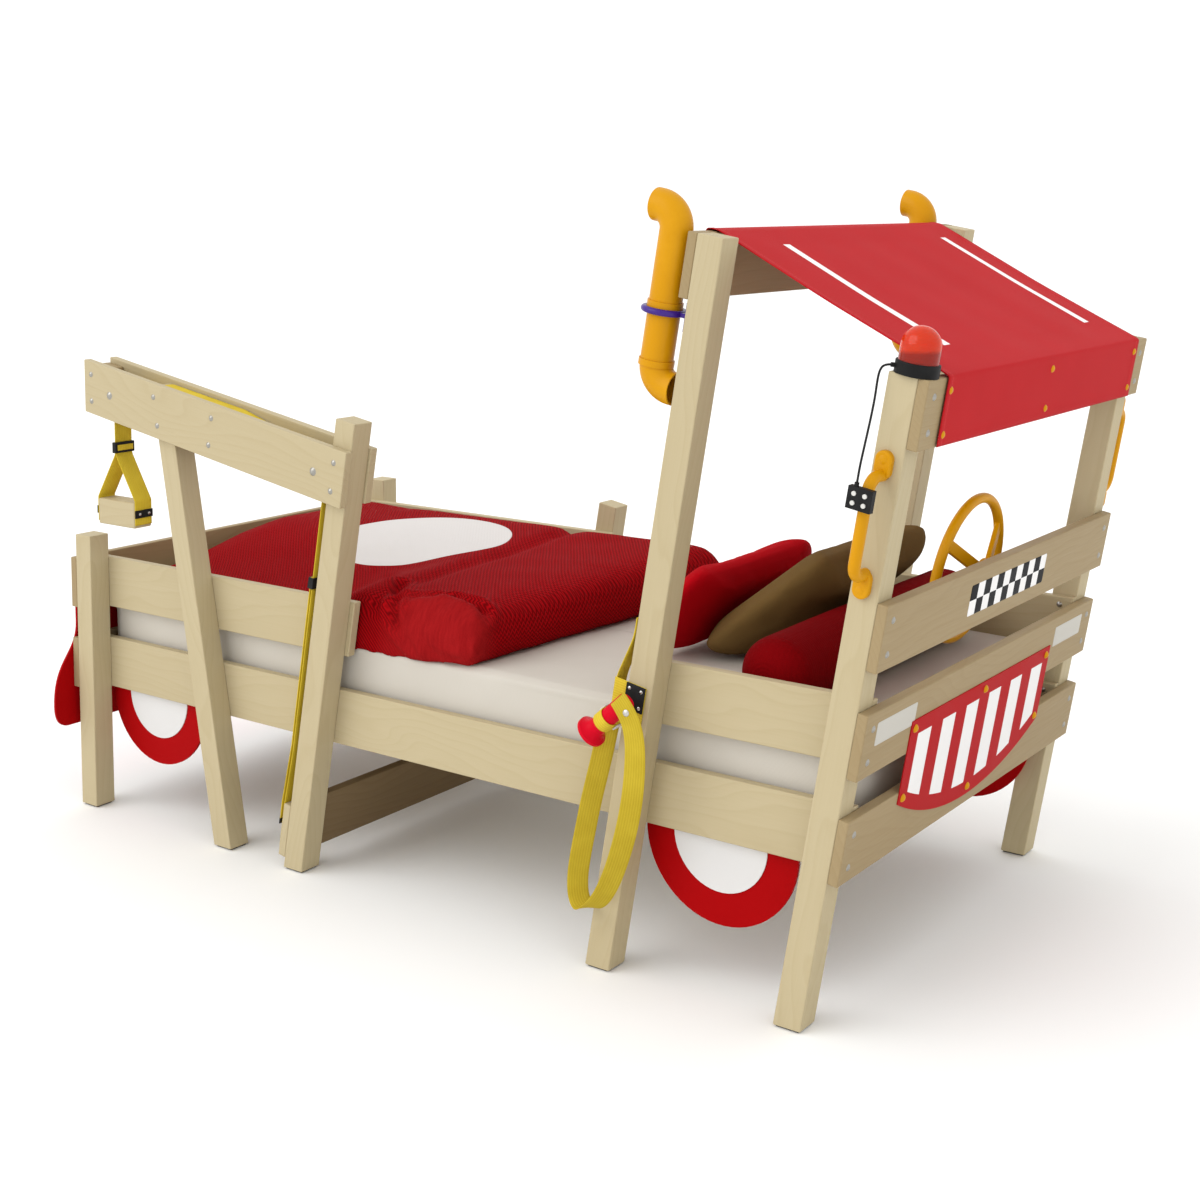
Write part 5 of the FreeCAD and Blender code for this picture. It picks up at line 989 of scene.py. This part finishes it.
bed_drop = BED_ROUND - np.sqrt(np.maximum(0.0, BED_ROUND ** 2 - past_flat ** 2))
flat[:, 2] = np.where(on_bed, np.maximum(flat[:, 2], BED_TOP - bed_drop), flat[:, 2])
beside = (flat[:, 1] <= BED_SIDE) & (flat[:, 1] > BED_CLEAR) & (flat[:, 2] < BED_TOP - 18.0)
flat[:, 1] = np.where(beside, BED_CLEAR, flat[:, 1])
duvet.data.vertices.foreach_set("co", place(flat).astype(np.float32).ravel())
duvet.data.update()

DISC_MID, DISC_R, DISC_LOW = place((515.0, 602.0, 0.0)), 0.217, 0.55
FLAP_START, FLAP_BACK = place((800.0, 125.0, 0.0))[[1, 0]]


def spread(first, second):
    """Length of two numbers at right angles."""
    return reckoned("SQRT", first * first + second * second)


def seersucker(name):
    """Puckered cotton: wavy ridges across the bed, darker on their crests. A smooth satin flap fades in at
    the near edge, with streaks of painted sheen, and a plain white disc lies on top."""
    finish = Finish(name, 0.75, 0.025)
    x, y, z = finish.axes(finish.coords)
    pucker = ripple((x + z * 0.9) / 0.009 + ripple(y, 0.012) * 0.35, 1.0)
    drift = finish.noise(8.0, 4.0)
    tone = finish.mix(drift, (0.335, 0.0018, 0.0042), (0.40, 0.0030, 0.0060))
    tone = finish.mix(pucker * 0.5 + 0.5, tone, (0.135, 0.0006, 0.0015))
    flap = reckoned("DIVIDE", FLAP_START + drift * 0.06 - y, 0.05, clamp=True)
    flap = flap * reckoned("DIVIDE", x - (FLAP_BACK + drift * 0.10), 0.08, clamp=True)
    # Painted sheen: the flap's streaked, greyer red stands in for light glancing off the satin; its
    # smoothness is real.
    sheen_streak = finish.noise(1.0, 2.0, finish.add("Mapping", Vector=finish.coords, Scale=(240.0, 60.0, 22.0)))
    tone = finish.mix(flap, tone, finish.mix(sheen_streak, (0.20, 0.0035, 0.005), (0.34, 0.010, 0.011)))
    disc = (spread(x - DISC_MID[0], y - DISC_MID[1]) < DISC_R) * (z > DISC_LOW)
    tone = finish.mix(disc, tone, (0.64, 0.61, 0.59))
    puckered = 1.0 - reckoned("MAXIMUM", disc, flap) * 0.85
    return finish.surface(tone, pucker * puckered + sheen_streak * 0.6, 0.5, 0.0016)


declared(duvet, seersucker("red_seersucker"), "bed", "red_bedding", "duvet")


# Pillows: a red velour one and a flatter olive-brown cotton one behind it, both leaning towards the foot end
# on the mattress, each a stitched cover over loose filling that draws its sides in between the corners.
SWELLING, PILLOW_CELL, PILLOW_PRESSURE = 6.0, 0.008, 2.5


def pillow_cover(name, size, middle, tilt, corner, belly, droop=0.0, draw=12.0):
    """A crowned cover: rings of a rounded rectangle, whose sides draw in by a parabola, shrink towards the
    middle as the height follows a quarter circle from the seam to a flat crown. The belly makes the
    underside fuller, the droop lowers the far upper corner, and the whole is tilted about Y."""
    length, width, thick = (part - 2 * SWELLING for part in size)
    edge = closed_outline((-length / 2, -width / 2), (length / 2, width / 2), corner, 9.0)
    drawn = draw * (1 - (2 * edge[:, ::-1] / (width, length)) ** 2)
    edge = edge - np.sign(edge) * np.clip(drawn, 0, draw)
    share = np.sin(np.linspace(0.04, math.pi / 2, 20))
    level = np.sqrt(1 - np.clip((share - 0.3) / 0.7, 0, 1) ** 2)
    share = np.concatenate([share, share[-2::-1]])
    height = np.concatenate([-belly * level, level[-2::-1]]) * thick / 2
    ring_x, ring_y = share[:, None] * edge[:, 0], share[:, None] * edge[:, 1]
    ring_h = np.broadcast_to(height[:, None], ring_x.shape)
    ring_x = ring_x - droop * np.clip(2 * ring_y / width, 0, 1) ** 2 * np.clip(2 * ring_x / length, 0, 1)
    lean_x = ring_x * math.cos(tilt) - ring_h * math.sin(tilt)
    lean_z = ring_x * math.sin(tilt) + ring_h * math.cos(tilt)
    points = place(np.stack([lean_x, ring_y, lean_z], -1) + np.asarray(middle))
    return tube(name, points)


def laid(piece, fabric, node_name, slot, wrinkle, size):
    """Swells a pillow or bolster, adds a slow unevenness along its normals, keeps it on the mattress, and
    declares what it is and stands for."""
    places = blown(piece, PILLOW_CELL, SWELLING / 1000, PILLOW_PRESSURE)
    rough = uneven(places[:, 0] * 1000, places[:, 1] * 1000 + places[:, 2] * 700, size)
    places = places + rows_of(piece.data, "normal") * (wrinkle / 1000 * rough)[:, None]
    places[:, 2] = np.maximum(places[:, 2], BED_TOP / 1000)
    settled(piece, places)
    declared(piece, fabric, "bed", slot, node_name)


red_velour = knitted("red_velour", (0.36, 0.0013, 0.005), (0.42, 0.0025, 0.007), 0.0012, 0.0003)
olive_cotton = knitted("olive_cotton", (0.112, 0.064, 0.019), (0.150, 0.090, 0.032), 0.0012, 0.0003)
red_low, red_high = np.array(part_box("red_pillow"))
red_mid = (1413.0, 605.0, (red_low[2] + red_high[2]) * 500)
red_tilt, olive_tilt = math.radians(60), math.radians(38)
red_pillow = pillow_cover("red_pillow_cover", (220.0, 600.0, 92.0), red_mid, red_tilt, 100.0, 1.0, draw=2.0)
laid(red_pillow, red_velour, "red_pillow", "red_bedding", 1.0, 45.0)
olive_mid, olive_size = (1592.0, 657.0, 638.7), (380.0, 560.0, 84.0)
olive_pillow = pillow_cover("olive_pillow_cover", olive_size, olive_mid, olive_tilt, 50.0, 1.75, droop=26.0)
laid(olive_pillow, olive_cotton, "olive_pillow", "olive_bedding", 1.4, 60.0)

# Bolster: a long roll in red knitted cotton, laid across the bed before the cab's front boards; its red is
# painted dark as painted shade under the cab. Its ends are gathered round, so the knit's rows run round the
# roll and in rings on its ends.
BOLSTER_R, BOLSTER_X, BOLSTER_Z, BOLSTER_INSET = 76.0, 1771.0, 582.8, 5.0
BOLSTER_NEAR, BOLSTER_FAR, BOLSTER_END = 105.0, 935.0, 55.0
end_turn = np.linspace(0, math.pi / 2, 9)
end_flat = np.linspace(2.0, BOLSTER_R - BOLSTER_END, 4, endpoint=False)
end_r = np.concatenate([end_flat, BOLSTER_R - BOLSTER_END * (1 - np.sin(end_turn))]) - BOLSTER_INSET
end_r = np.maximum(end_r, 1.0)
end_y = np.concatenate([np.zeros(4), BOLSTER_END * (1 - np.cos(end_turn))]) + BOLSTER_INSET
bolster_r = np.concatenate([end_r, np.full(40, BOLSTER_R - BOLSTER_INSET), end_r[::-1]])[:, None]
bolster_y = np.concatenate([BOLSTER_NEAR + end_y, np.linspace(172.0, 868.0, 40), BOLSTER_FAR - end_y[::-1]])
bolster_turn = np.linspace(0, 2 * math.pi, 48, endpoint=False)
bolster_x = BOLSTER_X + bolster_r * np.cos(bolster_turn)
bolster_z = BOLSTER_Z + bolster_r * np.sin(bolster_turn)
bolster_y = np.broadcast_to(bolster_y[:, None], bolster_x.shape)
bolster = tube("bolster_cover", place(np.stack([bolster_x, bolster_y, bolster_z], -1)), -1)


def round_rows(x, y, z):
    """Metres along the roll less metres from its axis, so that rows are rings on the ends and hoops on the
    roll."""
    middle = place((BOLSTER_X, 0.0, BOLSTER_Z))
    return y - spread(x - middle[0], z - middle[2])


# Painted shade: this red is far darker than the other red bedding, standing in for the shade under the cab.
red_knit_painted_shade = knitted("red_knit_painted_shade", (0.15, 0.0006, 0.0018), (0.20, 0.0015, 0.003), 0.0065, 0.0022, rows=round_rows)
laid(bolster, red_knit_painted_shade, "red_bolster", "red_bedding", 0.8, 70.0)


# Studio: a pale floor, a white surround and one broad soft light from the near foot side, with the camera at
# the height of a standing adult's chest, off the cab's near corner.
floor_corners = np.array([(x, y, -0.0005) for x, y in ((-14, -14), (14, -14), (14, 14), (-14, 14))])
floor = put_mesh("studio_floor", floor_corners, np.array([[0, 1, 2, 3]]))
floor.data.materials.append(Finish("studio_white", 0.9, 0.1).surface((0.93, 0.93, 0.92)))

scene = bpy.context.scene
world = bpy.data.worlds.new("studio_world")
world.use_nodes = True
backdrop = world.node_tree.nodes["Background"]
backdrop.inputs["Color"].default_value = (1, 1, 1, 1)
backdrop.inputs["Strength"].default_value = 1.15
scene.world = world
scene.view_settings.view_transform = "Standard"

sun = bpy.data.lights.new("window_light", "SUN")
sun.energy = 1.1
sun.angle = math.radians(50)
sun_piece = added("window_light", sun)
sun_from = mathutils.Vector((-0.45, -0.70, 0.55))
sun_piece.rotation_euler = sun_from.to_track_quat("Z", "Y").to_euler()

azimuth, pitch = math.radians(36.021), math.radians(4.99)
level = math.cos(pitch)
ahead = np.array([-math.sin(azimuth) * level, math.cos(azimuth) * level, -math.sin(pitch)])
right = np.array([math.cos(azimuth), math.sin(azimuth), 0.0])
upward = np.cross(right, ahead)
camera = bpy.data.cameras.new("photo_camera")
camera.sensor_width = 36.0
camera.lens = 51.76
camera.shift_x = 0.0057
camera.shift_y = -0.2083
viewer = added("photo_camera", camera)
turn = np.eye(4)
turn[:3, 0], turn[:3, 1], turn[:3, 2] = right, upward, -ahead
turn[:3, 3] = place((3323.3, -2550.7, 1450.9))
viewer.matrix_world = mathutils.Matrix(turn.tolist())
scene.camera = viewer
